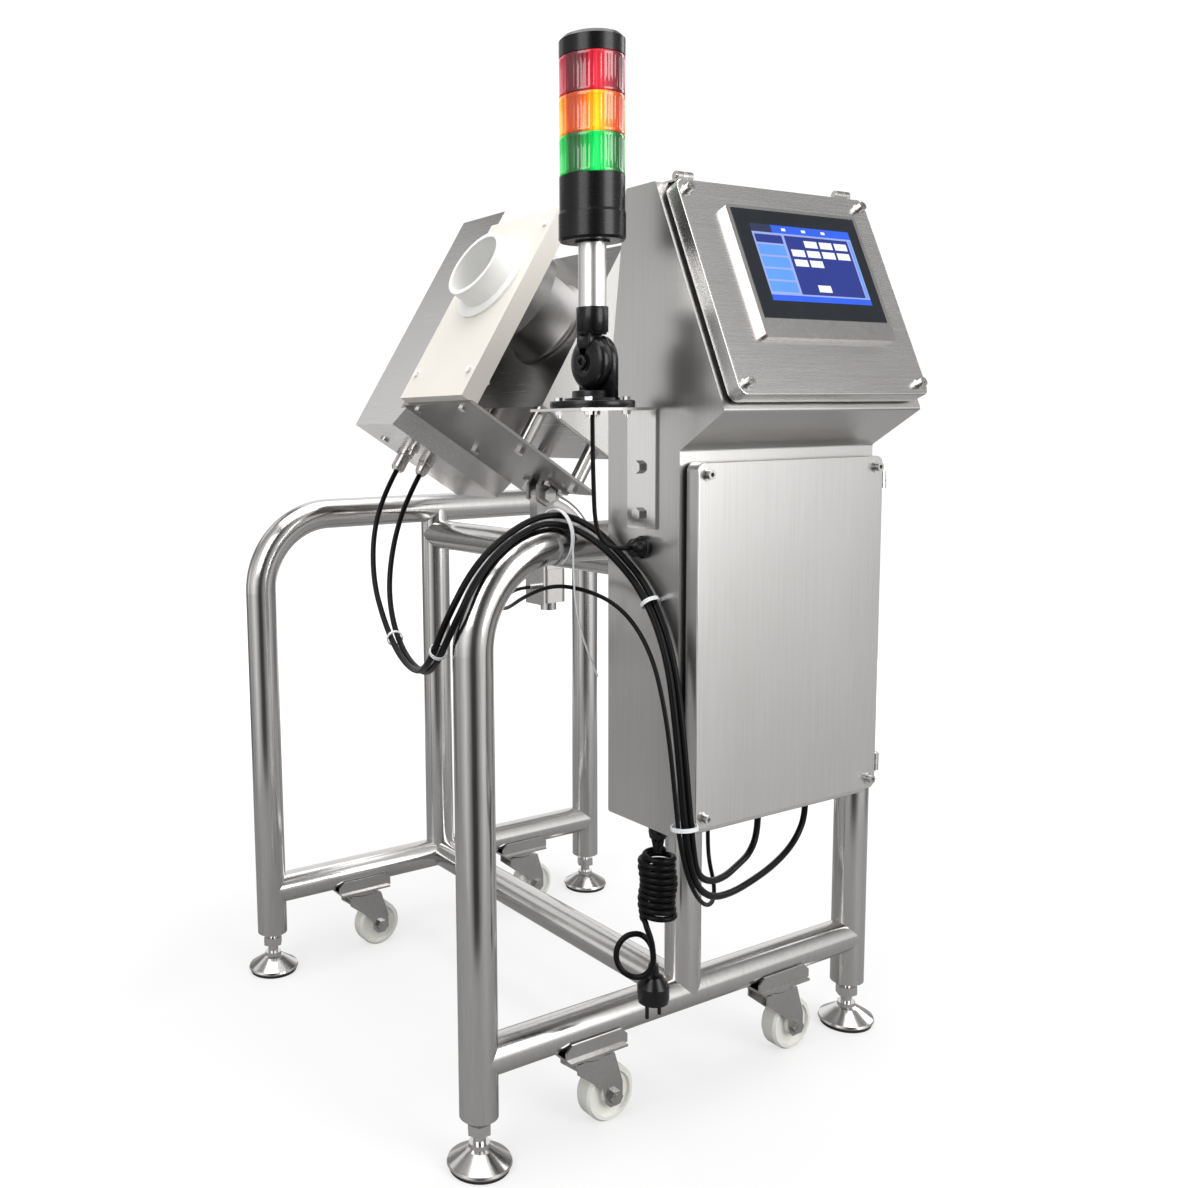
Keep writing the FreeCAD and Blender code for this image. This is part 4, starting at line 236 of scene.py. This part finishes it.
# The feet stand on rubber pads
PAD_TOP = 0.00505
for number in (1, 2, 3, 4):
    mesh = nodes[f"levelling_foot_{number}"].data
    mesh.materials.append(PAD)
    for face in mesh.polygons:
        if max(mesh.vertices[i].co.z for i in face.vertices) < PAD_TOP:
            face.material_index = len(mesh.materials) - 1


def repaint(name, material, wanted):
    """Gives a material to the node's faces whose middle is wanted."""
    mesh = nodes[name].data
    mesh.materials.append(material)
    for face in mesh.polygons:
        if wanted(face.center):
            face.material_index = len(mesh.materials) - 1


# Places on the tilted head: along its pipe, and up from its pivot
TILT = math.radians(32.5)
PIVOT_Z = 0.787


def along(point):
    return point.x * math.cos(TILT) - (point.z - PIVOT_Z) * math.sin(TILT)


FLANGE_FRONT, BOARD_FRONT, HEAD_LOW = -0.2125, -0.2205, 0.9
CABINET_SIDE = -0.1625
# The flange behind the board: grey steel whose dark tone is partly painted shade
repaint("backing_plate", FLANGE_STEEL_AND_SHADE, lambda point: along(point) > FLANGE_FRONT)
board_side = min(vertex.co.y for vertex in nodes["backing_plate"].data.vertices)
repaint("backing_plate", CREAM, lambda point: point.y < board_side + 0.0005)
repaint("head_bolts", NYLON, lambda point: along(point) < BOARD_FRONT and point.z > HEAD_LOW)
repaint("cabinet_brackets", STRAP, lambda point: point.x < CABINET_SIDE)

# Meshes and curves


def piece(name, points, faces, material, body, smooth=True):
    """A mesh object that rides on a body, where it has one.

    Where there are several materials, each face is (corners, material number).
    """
    mesh = bpy.data.meshes.new(name)
    plain = [face[0] if isinstance(face[0], (list, tuple)) else face for face in faces]
    mesh.from_pydata([Vector(point) for point in points], [], plain)
    for one in material if isinstance(material, (list, tuple)) else [material]:
        mesh.materials.append(one)
    for polygon, face in zip(mesh.polygons, faces):
        polygon.use_smooth = smooth
        if isinstance(face[0], (list, tuple)):
            polygon.material_index = face[1]
    mesh.update()
    made = bpy.data.objects.new(name, mesh)
    scene.collection.objects.link(made)
    if body:
        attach(made, body)
    return made


def curve_of(name, route, radius, material):
    """A round cord along one open NURBS spline through a route's control points."""
    data = bpy.data.curves.new(name, "CURVE")
    data.dimensions = "3D"
    spline = data.splines.new("NURBS")
    spline.points.add(len(route) - 1)
    for point, place in zip(spline.points, route):
        point.co = (*place, 1)
    spline.order_u = 3
    spline.use_endpoint_u = True
    spline.resolution_u = 10
    data.bevel_depth = radius
    data.bevel_resolution = 5
    data.use_fill_caps = True
    if material:
        data.materials.append(material)
    made = bpy.data.objects.new(name, data)
    scene.collection.objects.link(made)
    return made


def line_of(route):
    """The points that the route's spline passes through."""
    made = curve_of("line", route, 0, None)
    made.data.splines[0].resolution_u = 8
    made.data.use_fill_caps = False
    bpy.context.view_layer.update()
    mesh = bpy.data.meshes.new_from_object(made)
    points = [vertex.co.copy() for vertex in mesh.vertices]
    bpy.data.objects.remove(made)
    bpy.data.meshes.remove(mesh)
    return points


def sweep(points, radius, sides=14):
    """Points and faces of a round tube along a line."""
    out, faces = [], []
    way = (points[1] - points[0]).normalized()
    side = way.orthogonal().normalized()
    for i, point in enumerate(points):
        ahead = points[min(i + 1, len(points) - 1)] - points[max(i - 1, 0)]
        ahead.normalize()
        side = (side - ahead * side.dot(ahead)).normalized()
        other = ahead.cross(side)
        for j in range(sides):
            angle = 2 * math.pi * j / sides
            out.append(point + radius * (math.cos(angle) * side + math.sin(angle) * other))
    for i in range(len(points) - 1):
        for j in range(sides):
            a, b = i * sides + j, i * sides + (j + 1) % sides
            faces.append((a, b, b + sides, a + sides))
    faces.append(tuple(reversed(range(sides))))
    faces.append(tuple(range((len(points) - 1) * sides, len(points) * sides)))
    return out, faces


def revolve(profile, spot, sides=96, flute=None):
    """A closed ring around an upright axis. flute(angle, radius, height) may change a radius."""
    points, faces = [], []
    count = len(profile)
    for j in range(sides):
        angle = 2 * math.pi * j / sides
        for radius, height in profile:
            grown = flute(angle, radius, height) if flute else radius
            points.append((spot[0] + grown * math.cos(angle), spot[1] + grown * math.sin(angle), height))
    for j in range(sides):
        for i in range(count):
            a, b = j * count + i, j * count + (i + 1) % count
            c, d = ((j + 1) % sides) * count + (i + 1) % count, ((j + 1) % sides) * count + i
            faces.append((a, d, c, b))
    return points, faces


# Cables from the head, along curved routes down to the stand

REAR_CABLE = (
    (-0.1346, 0.3125, 0.8214), (-0.1598, 0.3125, 0.7818), (-0.2, 0.2725, 0.725), (-0.24, 0.1975, 0.665),
    (-0.272, 0.1075, 0.622), (-0.3, 0.0175, 0.592), (-0.325, -0.0725, 0.585), (-0.353, -0.1545, 0.612),
    (-0.362, -0.2075, 0.672), (-0.3158, -0.2075, 0.7418), (-0.2455, -0.2075, 0.783), (-0.199, -0.2165, 0.787),
    (-0.178, -0.2505, 0.769), (-0.17, -0.2865, 0.741), (-0.17, -0.3245, 0.715), (-0.17, -0.3545, 0.677),
    (-0.17, -0.3745, 0.632), (-0.17, -0.3855, 0.582), (-0.17, -0.3935, 0.53), (-0.17, -0.4005, 0.476),
    (-0.168, -0.4045, 0.43), (-0.155, -0.3975, 0.393), (-0.122, -0.3825, 0.371), (-0.08, -0.3645, 0.362),
    (-0.036, -0.3425, 0.361), (0.0, -0.3255, 0.362), (0.022, -0.3175, 0.382), (0.022, -0.3175, 0.412))
FRONT_CABLE = (
    (-0.1128, 0.2775, 0.8146), (-0.1364, 0.2775, 0.7775), (-0.182, 0.2375, 0.722), (-0.227, 0.1755, 0.664),
    (-0.2628, 0.0995, 0.62), (-0.2908, 0.0155, 0.59), (-0.3158, -0.0745, 0.583), (-0.343, -0.1525, 0.608),
    (-0.361, -0.2235, 0.668), (-0.3123, -0.2173, 0.7383), (-0.2443, -0.2173, 0.7777), (-0.206, -0.2255, 0.775),
    (-0.187, -0.2525, 0.76), (-0.179, -0.2885, 0.736), (-0.179, -0.3265, 0.709), (-0.179, -0.3565, 0.672),
    (-0.179, -0.3765, 0.627), (-0.179, -0.3865, 0.577), (-0.179, -0.3945, 0.525), (-0.179, -0.4015, 0.472),
    (-0.178, -0.4075, 0.425), (-0.164, -0.4045, 0.385), (-0.127, -0.3905, 0.356), (-0.078, -0.3735, 0.345),
    (-0.028, -0.3565, 0.343), (0.022, -0.3405, 0.345), (0.066, -0.3265, 0.353), (0.092, -0.3195, 0.367),
    (0.106, -0.3175, 0.389), (0.106, -0.3175, 0.412))
VALVE_CABLE = (
    (-0.037, 0.0915, 0.651), (-0.062, 0.0915, 0.651), (-0.1, 0.0625, 0.641), (-0.142, 0.0075, 0.64),
    (-0.178, -0.0625, 0.652), (-0.2, -0.1325, 0.678), (-0.205, -0.1975, 0.7), (-0.196, -0.2445, 0.7),
    (-0.188, -0.2905, 0.69), (-0.188, -0.3325, 0.668), (-0.188, -0.3625, 0.632), (-0.188, -0.3795, 0.586),
    (-0.188, -0.3905, 0.538), (-0.188, -0.3985, 0.486), (-0.187, -0.4055, 0.434), (-0.174, -0.4085, 0.386),
    (-0.142, -0.3955, 0.352), (-0.104, -0.3715, 0.338), (-0.076, -0.3445, 0.345), (-0.064, -0.3225, 0.364),
    (-0.062, -0.3175, 0.388), (-0.062, -0.3175, 0.41))
TOWER_CABLE = (
    (-0.235, -0.3145, 0.922), (-0.235, -0.3145, 0.872), (-0.232, -0.3125, 0.825), (-0.231, -0.3135, 0.785),
    (-0.224, -0.3165, 0.762), (-0.203, -0.3175, 0.753), (-0.183, -0.3175, 0.753))

HEAD_CABLE, THIN_CABLE, MAINS_CABLE = 0.008, 0.005, 0.007

for name, route, length in (("rear_head_cable", REAR_CABLE, 1.607), ("front_head_cable", FRONT_CABLE, 1.671)):
    line = line_of(route)
    cable = piece(name, *sweep(line, HEAD_CABLE / 2), RUBBER, None)
    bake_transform(cable)
    if name == "rear_head_cable":
        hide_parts("head_cables")

for name, route, length in (("valve_cable_cord", VALVE_CABLE, 1.016),
                            ("tower_cable_cord", TOWER_CABLE, 0.203)):
    wire = curve_of(name, route, THIN_CABLE / 2, RUBBER)
    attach(wire, "stand")
    if name == "valve_cable_cord":
        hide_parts("frame_cables")

# Mains lead: down from its gland, wound into a tied hank, and out to the plug in a loose loop

LEAD_X, LEAD_Y = -0.141, -0.3175
lead_route = [(LEAD_X, LEAD_Y, 0.409), (LEAD_X, LEAD_Y, 0.400)]
TURNS, EACH = 10.5, 12
HANK_TOP, HANK_TALL, HANK_RADIUS, WAVER = 0.3905, 0.0805, 0.0197, 0.0013
for step in range(int(TURNS * EACH) + 1):
    angle = 2 * math.pi * step / EACH
    wound = min(0.009 + 0.0014 * step, HANK_RADIUS) + WAVER * math.sin(0.83 * angle + 1.1)
    height = HANK_TOP - HANK_TALL * step / (TURNS * EACH)
    lead_route.append((LEAD_X + wound * math.cos(angle), LEAD_Y + wound * math.sin(angle), height))
lead_route += [(-0.1625, -0.3225, 0.3065), (-0.1602, -0.3265, 0.295), (-0.1587, -0.3291, 0.284),
               (-0.157, -0.3301, 0.26), (-0.1649, -0.3219, 0.244), (-0.1782, -0.3091, 0.243),
               (-0.1872, -0.299, 0.256), (-0.1865, -0.2959, 0.275), (-0.1747, -0.2995, 0.29),
               (-0.1588, -0.308, 0.292), (-0.1491, -0.315, 0.28), (-0.147, -0.3175, 0.266),
               (-0.147, -0.3175, 0.255)]
lead = curve_of("mains_lead_cord", lead_route, MAINS_CABLE / 2, RUBBER)
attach(lead, "stand")
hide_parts("mains_lead", "mains_hank")

# Strain relief: a tapered boot with rings under the mains lead's gland

boot = [(0.0036, 0.3905), (0.0047, 0.3900)]
for step in range(8):
    low, wide = 0.3906 + 0.0022 * step, 0.0048 + 0.00042 * step
    boot += [(wide, low), (wide + 0.0002, low + 0.0013), (wide - 0.0006, low + 0.0015),
             (wide - 0.0005, low + 0.0021)]
boot += [(0.0083, 0.4086), (0.0083, 0.4118), (0.0036, 0.4118)]
relief = piece("lead_strain_relief", *revolve(boot, (LEAD_X, LEAD_Y), 48), RUBBER, "stand")

# A dark steel sleeve round the pipe, between the flange and the coil case: painted shade, a dark piece put where the
# pipe lies in shade

PIPE_UP, PIPE_Y = 0.219, 0.1075
PIPE_AXIS = Vector((math.cos(TILT), 0, -math.sin(TILT)))
PIPE_RISE = Vector((math.sin(TILT), 0, math.cos(TILT)))


def on_pipe(points):
    """Moves a shape that is turned about Z onto the pipe's line, with its heights along the pipe."""
    middle = Vector((0, PIPE_Y, PIVOT_Z)) + PIPE_UP * PIPE_RISE
    return [middle + point[2] * PIPE_AXIS + point[1] * Vector((0, 1, 0)) - point[0] * PIPE_RISE
            for point in points]


points, faces = revolve(((0.0523, -0.1857), (0.0590, -0.1857), (0.0600, -0.1847), (0.0600, -0.1290),
                         (0.0660, -0.1280), (0.0665, -0.1212), (0.0655, -0.1203), (0.0523, -0.1203)), (0, 0), 120)
shade_sleeve = piece("pipe_shade_sleeve", on_pipe(points), faces, FLANGE_STEEL_AND_SHADE, "head")

# Signal tower: ribbed lamp lenses

TOWER = (-0.235, -0.3145)


def lens_streaks_and_painted_glow(name, deep, main, bright, glow):
    """Lit ribbed plastic in fine streaks up and down, with painted bright columns round it, one turned towards the
    camera: a painted highlight for the lamp's bright middle.
    """
    made = Finish(name, main, 0.12, Coat_Weight=0.7, Coat_Roughness=0.05)
    streak = made.noise((190, 190, 4), 2.0, 0.6)
    spot = made.node("SeparateXYZ")
    made.tree.links.new(made.place, spot.inputs[0])
    angle = made.math("ARCTAN2", made.math("SUBTRACT", spot.outputs["Y"], TOWER[1]),
                      made.math("SUBTRACT", spot.outputs["X"], TOWER[0]))
    # Painted highlight: four bright columns in fixed places round the lens, one of them facing the camera
    painted_glow_column = made.math("COSINE", made.math("MULTIPLY", made.math("ADD", angle, 2.05), 4))
    painted_glow_column = made.math("MULTIPLY", made.spread(painted_glow_column, 0, 1, -1, 1), 0.38)
    both = made.math("ADD", made.math("MULTIPLY", streak, 0.62), painted_glow_column)
    color = made.ramp(both, (0.34, deep), (0.52, main), (0.72, bright))
    made.feed("Base Color", color)
    made.feed("Emission Color", color)
    made.feed("Emission Strength", made.spread(both, glow * 0.5, glow * 1.3, 0.36, 0.70))
    made.relief(streak, 0.15, GRAIN_DEPTH)
    return made.material


LENS_OUT, LENS_WAIST, LENS_IN = 0.0349, 0.0341, 0.0310
for name, low, high, colors in (
    ("green_lens", 1.1525, 1.1929, ((0.0, 0.10, 0.012), (0.0, 0.34, 0.045), (0.01, 0.66, 0.11), 0.42)),
    ("amber_lens", 1.1929, 1.2333, ((0.50, 0.05, 0.0), (0.80, 0.15, 0.004), (1.0, 0.46, 0.01), 0.55)),
    ("red_lens", 1.2333, 1.2737, ((0.12, 0.0, 0.008), (0.38, 0.006, 0.022), (0.68, 0.03, 0.05), 0.30)),
):
    outline = ((0.0345, low + 0.0003), (LENS_OUT, low + 0.0012), (LENS_OUT, low + 0.0036),
               (LENS_WAIST, low + 0.0046), (LENS_WAIST, high - 0.0050), (LENS_OUT, high - 0.0040),
               (LENS_OUT, high - 0.0010), (0.0344, high - 0.0003), (LENS_IN, high - 0.0003), (LENS_IN, low + 0.0003))
    waist = (low + 0.0040, high - 0.0045)

    def ribbed(angle, radius, height, waist=waist):
        if waist[0] < height < waist[1] and radius > LENS_IN:
            return radius + 0.0005 * abs(math.cos(22 * angle))
        return radius

    lens = piece(f"{name}_ribbed", *revolve(outline, TOWER, 264, ribbed),
                 lens_streaks_and_painted_glow(f"{name}_plastic", *colors), "tower_top")
    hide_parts(name)

# Signal tower's folding joint: the foot's flange and ear, and the arm's domed disc and collar

FOLD = Vector((TOWER[0], TOWER[1], 0.958))


def merge(*parts):
    """Points and faces of several meshes as one."""
    points, faces = [], []
    for more_points, more_faces in parts:
        base = len(points)
        points += [Vector(point) for point in more_points]
        faces += [tuple(base + corner for corner in face) for face in more_faces]
    return points, faces


def crosswise(profile, sides=96):
    """A turned shape on the folding pin's line. profile is radius, and place along that line."""
    points, faces = revolve(profile, (0, 0), sides)
    return [FOLD + Vector((point[2], point[0], point[1])) for point in points], faces


def layered(outline, layers, place):
    """A plate with soft edges. outline(inset) gives its points, and layers are (inset, height).

    place turns two numbers of the outline and a height into a point.
    """
    rows = [[place(*point, height) for point in outline(inset)] for inset, height in layers]
    count = len(rows[0])
    points = [point for row in rows for point in row]
    faces = [tuple(reversed(range(count))), tuple(range((len(rows) - 1) * count, len(rows) * count))]
    for k in range(len(rows) - 1):
        for i in range(count):
            a, b = k * count + i, k * count + (i + 1) % count
            faces.append((a, b, b + count, a + count))
    return points, faces


def ear_outline(inset):
    radius = 0.029 - inset
    top = [(radius * math.cos(math.pi * i / 40), radius * math.sin(math.pi * i / 40)) for i in range(41)]
    return top + [(-radius, -0.0445), (radius, -0.0445)]


def hexagon(inset, flats=0.0065):
    return [((flats - inset) / math.cos(math.pi / 6) * math.cos(math.pi * i / 3),
             (flats - inset) / math.cos(math.pi / 6) * math.sin(math.pi * i / 3)) for i in range(6)]


def sideways(y, z, x):
    return FOLD + Vector((x, y, z))


def neck_outline(inset):
    return [(-0.0050 + inset, 0.0), (0.0050 - inset, 0.0), (0.0115 - inset, 0.020), (0.0115 - inset, 0.0320),
            (-0.0115 + inset, 0.0320), (-0.0115 + inset, 0.020)]


flange = revolve(((0.0090, 0.9092), (0.0452, 0.9092), (0.0460, 0.9100), (0.0460, 0.9160), (0.0450, 0.9170),
                  (0.0304, 0.9170), (0.0302, 0.9172), (0.0300, 0.9195), (0.0295, 0.9200), (0.0228, 0.9200),
                  (0.0221, 0.9205), (0.0218, 0.9271), (0.0211, 0.9279), (0.0090, 0.9279)), TOWER)
ear = layered(ear_outline, ((0.0004, 0.0040), (0, 0.0044), (0, 0.0118), (0.0004, 0.0126), (0.0012, 0.0130)),
              sideways)
ear_rim = crosswise(((0.0150, 0.0128), (0.0232, 0.0128), (0.0229, 0.0136), (0.0153, 0.0136)))
pin_cap = crosswise(((0.0032, -0.0148), (0.0037, -0.0168), (0.0062, -0.0170), (0.0072, -0.0164),
                     (0.0076, -0.0152), (0.0077, -0.0133), (0.0032, -0.0133)), 48)
pin_socket = crosswise(((0.0002, -0.0147), (0.0034, -0.0147), (0.0034, -0.0135), (0.0002, -0.0135)), 6)
pin_nut = layered(hexagon, ((0, 0.0131), (0, 0.0172), (0.0007, 0.0179)), sideways)
foot = piece("tower_foot_body", *merge(flange, ear, ear_rim, pin_cap, pin_socket, pin_nut), BLACK, "stand")
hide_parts("tower_foot")

disc = crosswise(((0.0041, -0.0118), (0.0085, -0.0118), (0.0092, -0.0130), (0.0152, -0.0130),
                  (0.0166, -0.0125), (0.0222, -0.0109), (0.0262, -0.0090), (0.0283, -0.0068), (0.0290, -0.0040),
                  (0.0290, 0.0028), (0.0287, 0.0034), (0.0280, 0.0037), (0.0041, 0.0037)))
web = layered(neck_outline, ((0.0012, -0.0130), (0.0003, -0.0124), (0, -0.0114), (0, 0.0037)), sideways)
# The web starts clear of the pin
PIN_ROOM = Vector((0, 0, 0.0085))
web = ([point + PIN_ROOM if point.z < FOLD.z + 0.001 else point for point in web[0]], web[1])
collar = revolve(((0.0040, 0.9877), (0.0150, 0.9877), (0.0154, 0.9882), (0.0154, 0.9899), (0.0168, 0.9901),
                  (0.0173, 0.9906), (0.0173, 1.0162), (0.0169, 1.0168), (0.0153, 1.0170), (0.01505, 1.0160),
                  (0.01505, 0.9925), (0.0040, 0.9925)), TOWER)
arm = piece("tower_arm_body", *merge(disc, web, collar), BLACK, "tower_top")
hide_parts("tower_arm")

# Operator panel's picture: a plain menu of buttons with no words

LEAN = math.radians(23.7)
DISPLAY = Vector((-0.008, -0.4515, 0.935))
PANEL_LEFT, PANEL_WIDE, PANEL_TOP, PANEL_TALL = -0.067, 0.157, 0.184, 0.094


def on_display(x, y, z):
    """A point across the display door, into it and up it."""
    return DISPLAY + Vector((x, y * math.cos(LEAN) + z * math.sin(LEAN),
                             z * math.cos(LEAN) - y * math.sin(LEAN)))


def lit(name, color, strength):
    """A lit area of the screen, with its fine raster."""
    made = Finish(name, tuple(value * 0.25 for value in color), 0.12, Coat_Weight=0.4)
    cloud = made.noise((30, 30, 30), 2.0, 0.5)
    made.feed("Emission Color", made.ramp(cloud, (0.3, tuple(value * 0.9 for value in color)), (0.7, color)))
    made.shader.inputs["Emission Strength"].default_value = strength
    return made.material


SCREEN = [lit("screen_navy", (0.012, 0.03, 0.24), 0.9), lit("screen_bar", (0.02, 0.10, 0.72), 1.0),
          lit("screen_line", (0.30, 0.38, 0.75), 0.9), lit("screen_blue", (0.10, 0.30, 0.80), 0.95),
          lit("screen_white", (0.85, 0.88, 0.95), 0.95), lit("screen_dark", (0.02, 0.03, 0.09), 0.8)]
# Left, top, right and bottom as shares of the picture, number in SCREEN, and layer
areas = [(0.0, 0.0, 1.0, 1.0, 2, 0), (0.0, 0.0, 0.2, 0.105, 5, 1), (0.2, 0.0, 1.0, 0.105, 1, 1),
         (0.0, 0.925, 1.0, 1.0, 1, 1), (0.305, 0.13, 0.955, 0.905, 0, 1), (0.97, 0.13, 0.99, 0.905, 3, 1),
         (0.015, 0.135, 0.28, 0.245, 0, 1)]
areas += [(0.015, 0.27 + 0.16 * i, 0.28, 0.405 + 0.16 * i, 3, 1) for i in range(4)]
areas += [(0.49 + 0.155 * i, 0.18, 0.62 + 0.155 * i, 0.27, 4, 2) for i in range(3)]
areas += [(0.335 + 0.155 * i, 0.31, 0.465 + 0.155 * i, 0.40, 4, 2) for i in range(4)]
areas += [(0.335 + 0.155 * i, 0.44, 0.465 + 0.155 * i, 0.53, 4, 2) for i in range(2)]
areas += [(0.49, 0.77, 0.62, 0.86, 4, 2)]
areas += [(0.3 + 0.2 * i, 0.035, 0.34 + 0.2 * i, 0.07, 4, 2) for i in range(3)]
spots, screen_faces = [], []
for left, top, right, bottom, shade, layer in areas:
    base = len(spots)
    for u, v in ((left, bottom), (right, bottom), (right, top), (left, top)):
        for depth in (-0.00765 - 0.00005 * layer, -0.0070):
            spots.append(on_display(PANEL_LEFT + PANEL_WIDE * u, depth, PANEL_TOP - PANEL_TALL * v))
    screen_faces.append(((base, base + 2, base + 4, base + 6), shade))
    for i in range(4):
        a, b = base + 2 * i, base + 2 * ((i + 1) % 4)
        screen_faces.append(((a, a + 1, b + 1, b), shade))
picture = piece("panel_picture", spots, screen_faces, SCREEN, "display_door_body", False)

# Floor, light and surroundings

floor_finish = Finish("floor_white", (0.30, 0.30, 0.30), 0.6)
floor_finish.feed("Roughness", floor_finish.spread(floor_finish.noise((3, 3, 3)), 0.55, 0.7))
floor_finish.shader.inputs["Specular IOR Level"].default_value = 0.1
floor_finish.shader.inputs["Emission Color"].default_value = (1, 1, 1, 1)
far = floor_finish.node("VectorMath", operation="LENGTH")
floor_finish.tree.links.new(floor_finish.place, far.inputs[0])
whiter = floor_finish.spread(far.outputs["Value"], 0.64, 1.0, 0.7, 2.2)
kind = floor_finish.node("LightPath").outputs
seen_by = floor_finish.math("ADD", kind["Is Camera Ray"], kind["Is Transmission Ray"])
# Painted shadow: in metal the floor near the machine is dark, and turns white between 1.4 m and 3.2 m out
painted_shadow_in_metal = floor_finish.spread(far.outputs["Value"], 0.02, 1.0, 1.4, 3.2)
floor_in_metal_with_painted_shadow = floor_finish.math("MULTIPLY", kind["Is Glossy Ray"], painted_shadow_in_metal)
direct = floor_finish.math("MULTIPLY", whiter, seen_by)
floor_finish.feed("Emission Strength", floor_finish.math("ADD", direct, floor_in_metal_with_painted_shadow))
# The floor is a roll of white paper that comes out from under the white backdrop, behind the machine
PAPER_FRONT, PAPER_BACK, PAPER_HALF = 0.95, 14, 1.4
back, right = Vector((math.sin(YAW), math.cos(YAW), 0)), level * PAPER_HALF
corners = [-PAPER_FRONT * back - right, -PAPER_FRONT * back + right, PAPER_BACK * back + right,
           PAPER_BACK * back - right]
floor = piece("floor", corners, [(0, 1, 2, 3)], floor_finish.material, None, False)

world = bpy.data.worlds.new("surroundings")
scene.world = world
world.use_nodes = True
tree = world.node_tree
tree.nodes.clear()


def world_ramp(source, stops):
    """A grey for each place along the source."""
    made = tree.nodes.new("ShaderNodeValToRGB")
    while len(made.color_ramp.elements) < len(stops):
        made.color_ramp.elements.new(0.5)
    for element, (where, shade) in zip(made.color_ramp.elements, stops):
        element.position = where
        element.color = (*(shade if isinstance(shade, tuple) else (shade, shade, shade)), 1)
    tree.links.new(source, made.inputs["Fac"])
    return made.outputs["Color"]


def world_math(operation, first, second):
    made = tree.nodes.new("ShaderNodeMath")
    made.operation = operation
    for socket, value in zip(made.inputs, (first, second)):
        if isinstance(value, (int, float)):
            socket.default_value = value
        else:
            tree.links.new(value, socket)
    return made.outputs["Value"]


# The room's light and dark parts: around the machine, from the backdrop past the left side to the
# camera's side and past the right side back to it, and from the floor up
place = tree.nodes.new("ShaderNodeTexCoord").outputs["Generated"]
turned_place = tree.nodes.new("ShaderNodeMapping")
turned_place.inputs["Rotation"].default_value = (0, 0, -math.atan2(-math.cos(YAW), -math.sin(YAW)))
tree.links.new(place, turned_place.inputs["Vector"])
around = tree.nodes.new("ShaderNodeTexGradient")
around.gradient_type = "RADIAL"
tree.links.new(turned_place.outputs["Vector"], around.inputs["Vector"])
BANDS = ((0.0, 0.42), (0.06, 0.28), (0.12, 0.16), (0.18, 0.27), (0.215, 0.48), (0.25, 0.40), (0.30, 0.60),
         (0.365, 0.95), (0.43, 0.4), (0.472, 0.05), (0.528, 0.05), (0.575, 0.4), (0.645, 0.95), (0.70, 0.75),
         (0.77, 0.26), (0.87, 0.20), (1.0, 0.42))
bands = world_ramp(around.outputs["Fac"], [(where, (shade, shade * 0.995, shade * 0.985)) for where, shade in BANDS])
spot = tree.nodes.new("ShaderNodeSeparateXYZ")
tree.links.new(place, spot.inputs[0])
rise = tree.nodes.new("ShaderNodeMapRange")
rise.inputs["From Min"].default_value = -1
tree.links.new(spot.outputs["Z"], rise.inputs["Value"])
LEVELS = ((0.0, 0.07), (0.15, 0.12), (0.27, 0.5), (0.35, 0.58), (0.43, 0.72), (0.5, 1.0), (0.6, 0.95),
          (0.75, 0.75), (1.0, 0.6))
room = tree.nodes.new("ShaderNodeBackground")
tree.links.new(bands, room.inputs["Color"])
tree.links.new(world_math("MULTIPLY", world_ramp(rise.outputs["Result"], LEVELS), 1.45), room.inputs["Strength"])

# The white backdrop, for the camera and through glass, and in metal where it hangs behind the machine
rays = tree.nodes.new("ShaderNodeLightPath").outputs
backdrop = world_ramp(around.outputs["Fac"], ((0.05, 1), (0.08, 0), (0.92, 0), (0.95, 1)))
white_for = world_math("MAXIMUM", rays["Is Camera Ray"], rays["Is Transmission Ray"])
white_for = world_math("MAXIMUM", white_for, world_math("MULTIPLY", rays["Is Glossy Ray"], backdrop))
white = tree.nodes.new("ShaderNodeBackground")
white.inputs["Color"].default_value = (1, 1, 1, 1)
white.inputs["Strength"].default_value = 1.05
mixed = tree.nodes.new("ShaderNodeMixShader")
tree.links.new(white_for, mixed.inputs["Fac"])
tree.links.new(room.outputs["Background"], mixed.inputs[1])
tree.links.new(white.outputs["Background"], mixed.inputs[2])
out = tree.nodes.new("ShaderNodeOutputWorld")
tree.links.new(mixed.outputs["Shader"], out.inputs["Surface"])


def softbox(name, spot, aim, wide, tall, power):
    """A flat light that faces aim, in metres and watts."""
    data = bpy.data.lights.new(name, "AREA")
    data.shape = "RECTANGLE"
    data.size = wide
    data.size_y = tall
    data.energy = power
    made = bpy.data.objects.new(name, data)
    scene.collection.objects.link(made)
    made.location = spot
    made.rotation_euler = (Vector(aim) - Vector(spot)).to_track_quat("-Z", "Y").to_euler()


softbox("key_left", (-2.6, -1.2, 2.3), (0, 0, 0.6), 1.6, 2.2, 38)
softbox("fill_front", (0.8, -3.0, 1.5), (0, 0, 0.6), 1.6, 2.2, 52)
softbox("overhead", (0, 0, 3.4), (0, 0, 0), 3.0, 3.0, 76)
softbox("right_side", (2.6, -0.2, 1.6), (0, 0, 0.6), 0.8, 2.0, 16)
softbox("rear_left", (-2.9, 3.0, 0.8), (0, 0, 0.7), 0.6, 1.4, 1.3)
softbox("rear_left_high", (-1.06, 2.8, 2.4), (-0.2, 0.1, 0.95), 1.4, 1.3, 4.2)
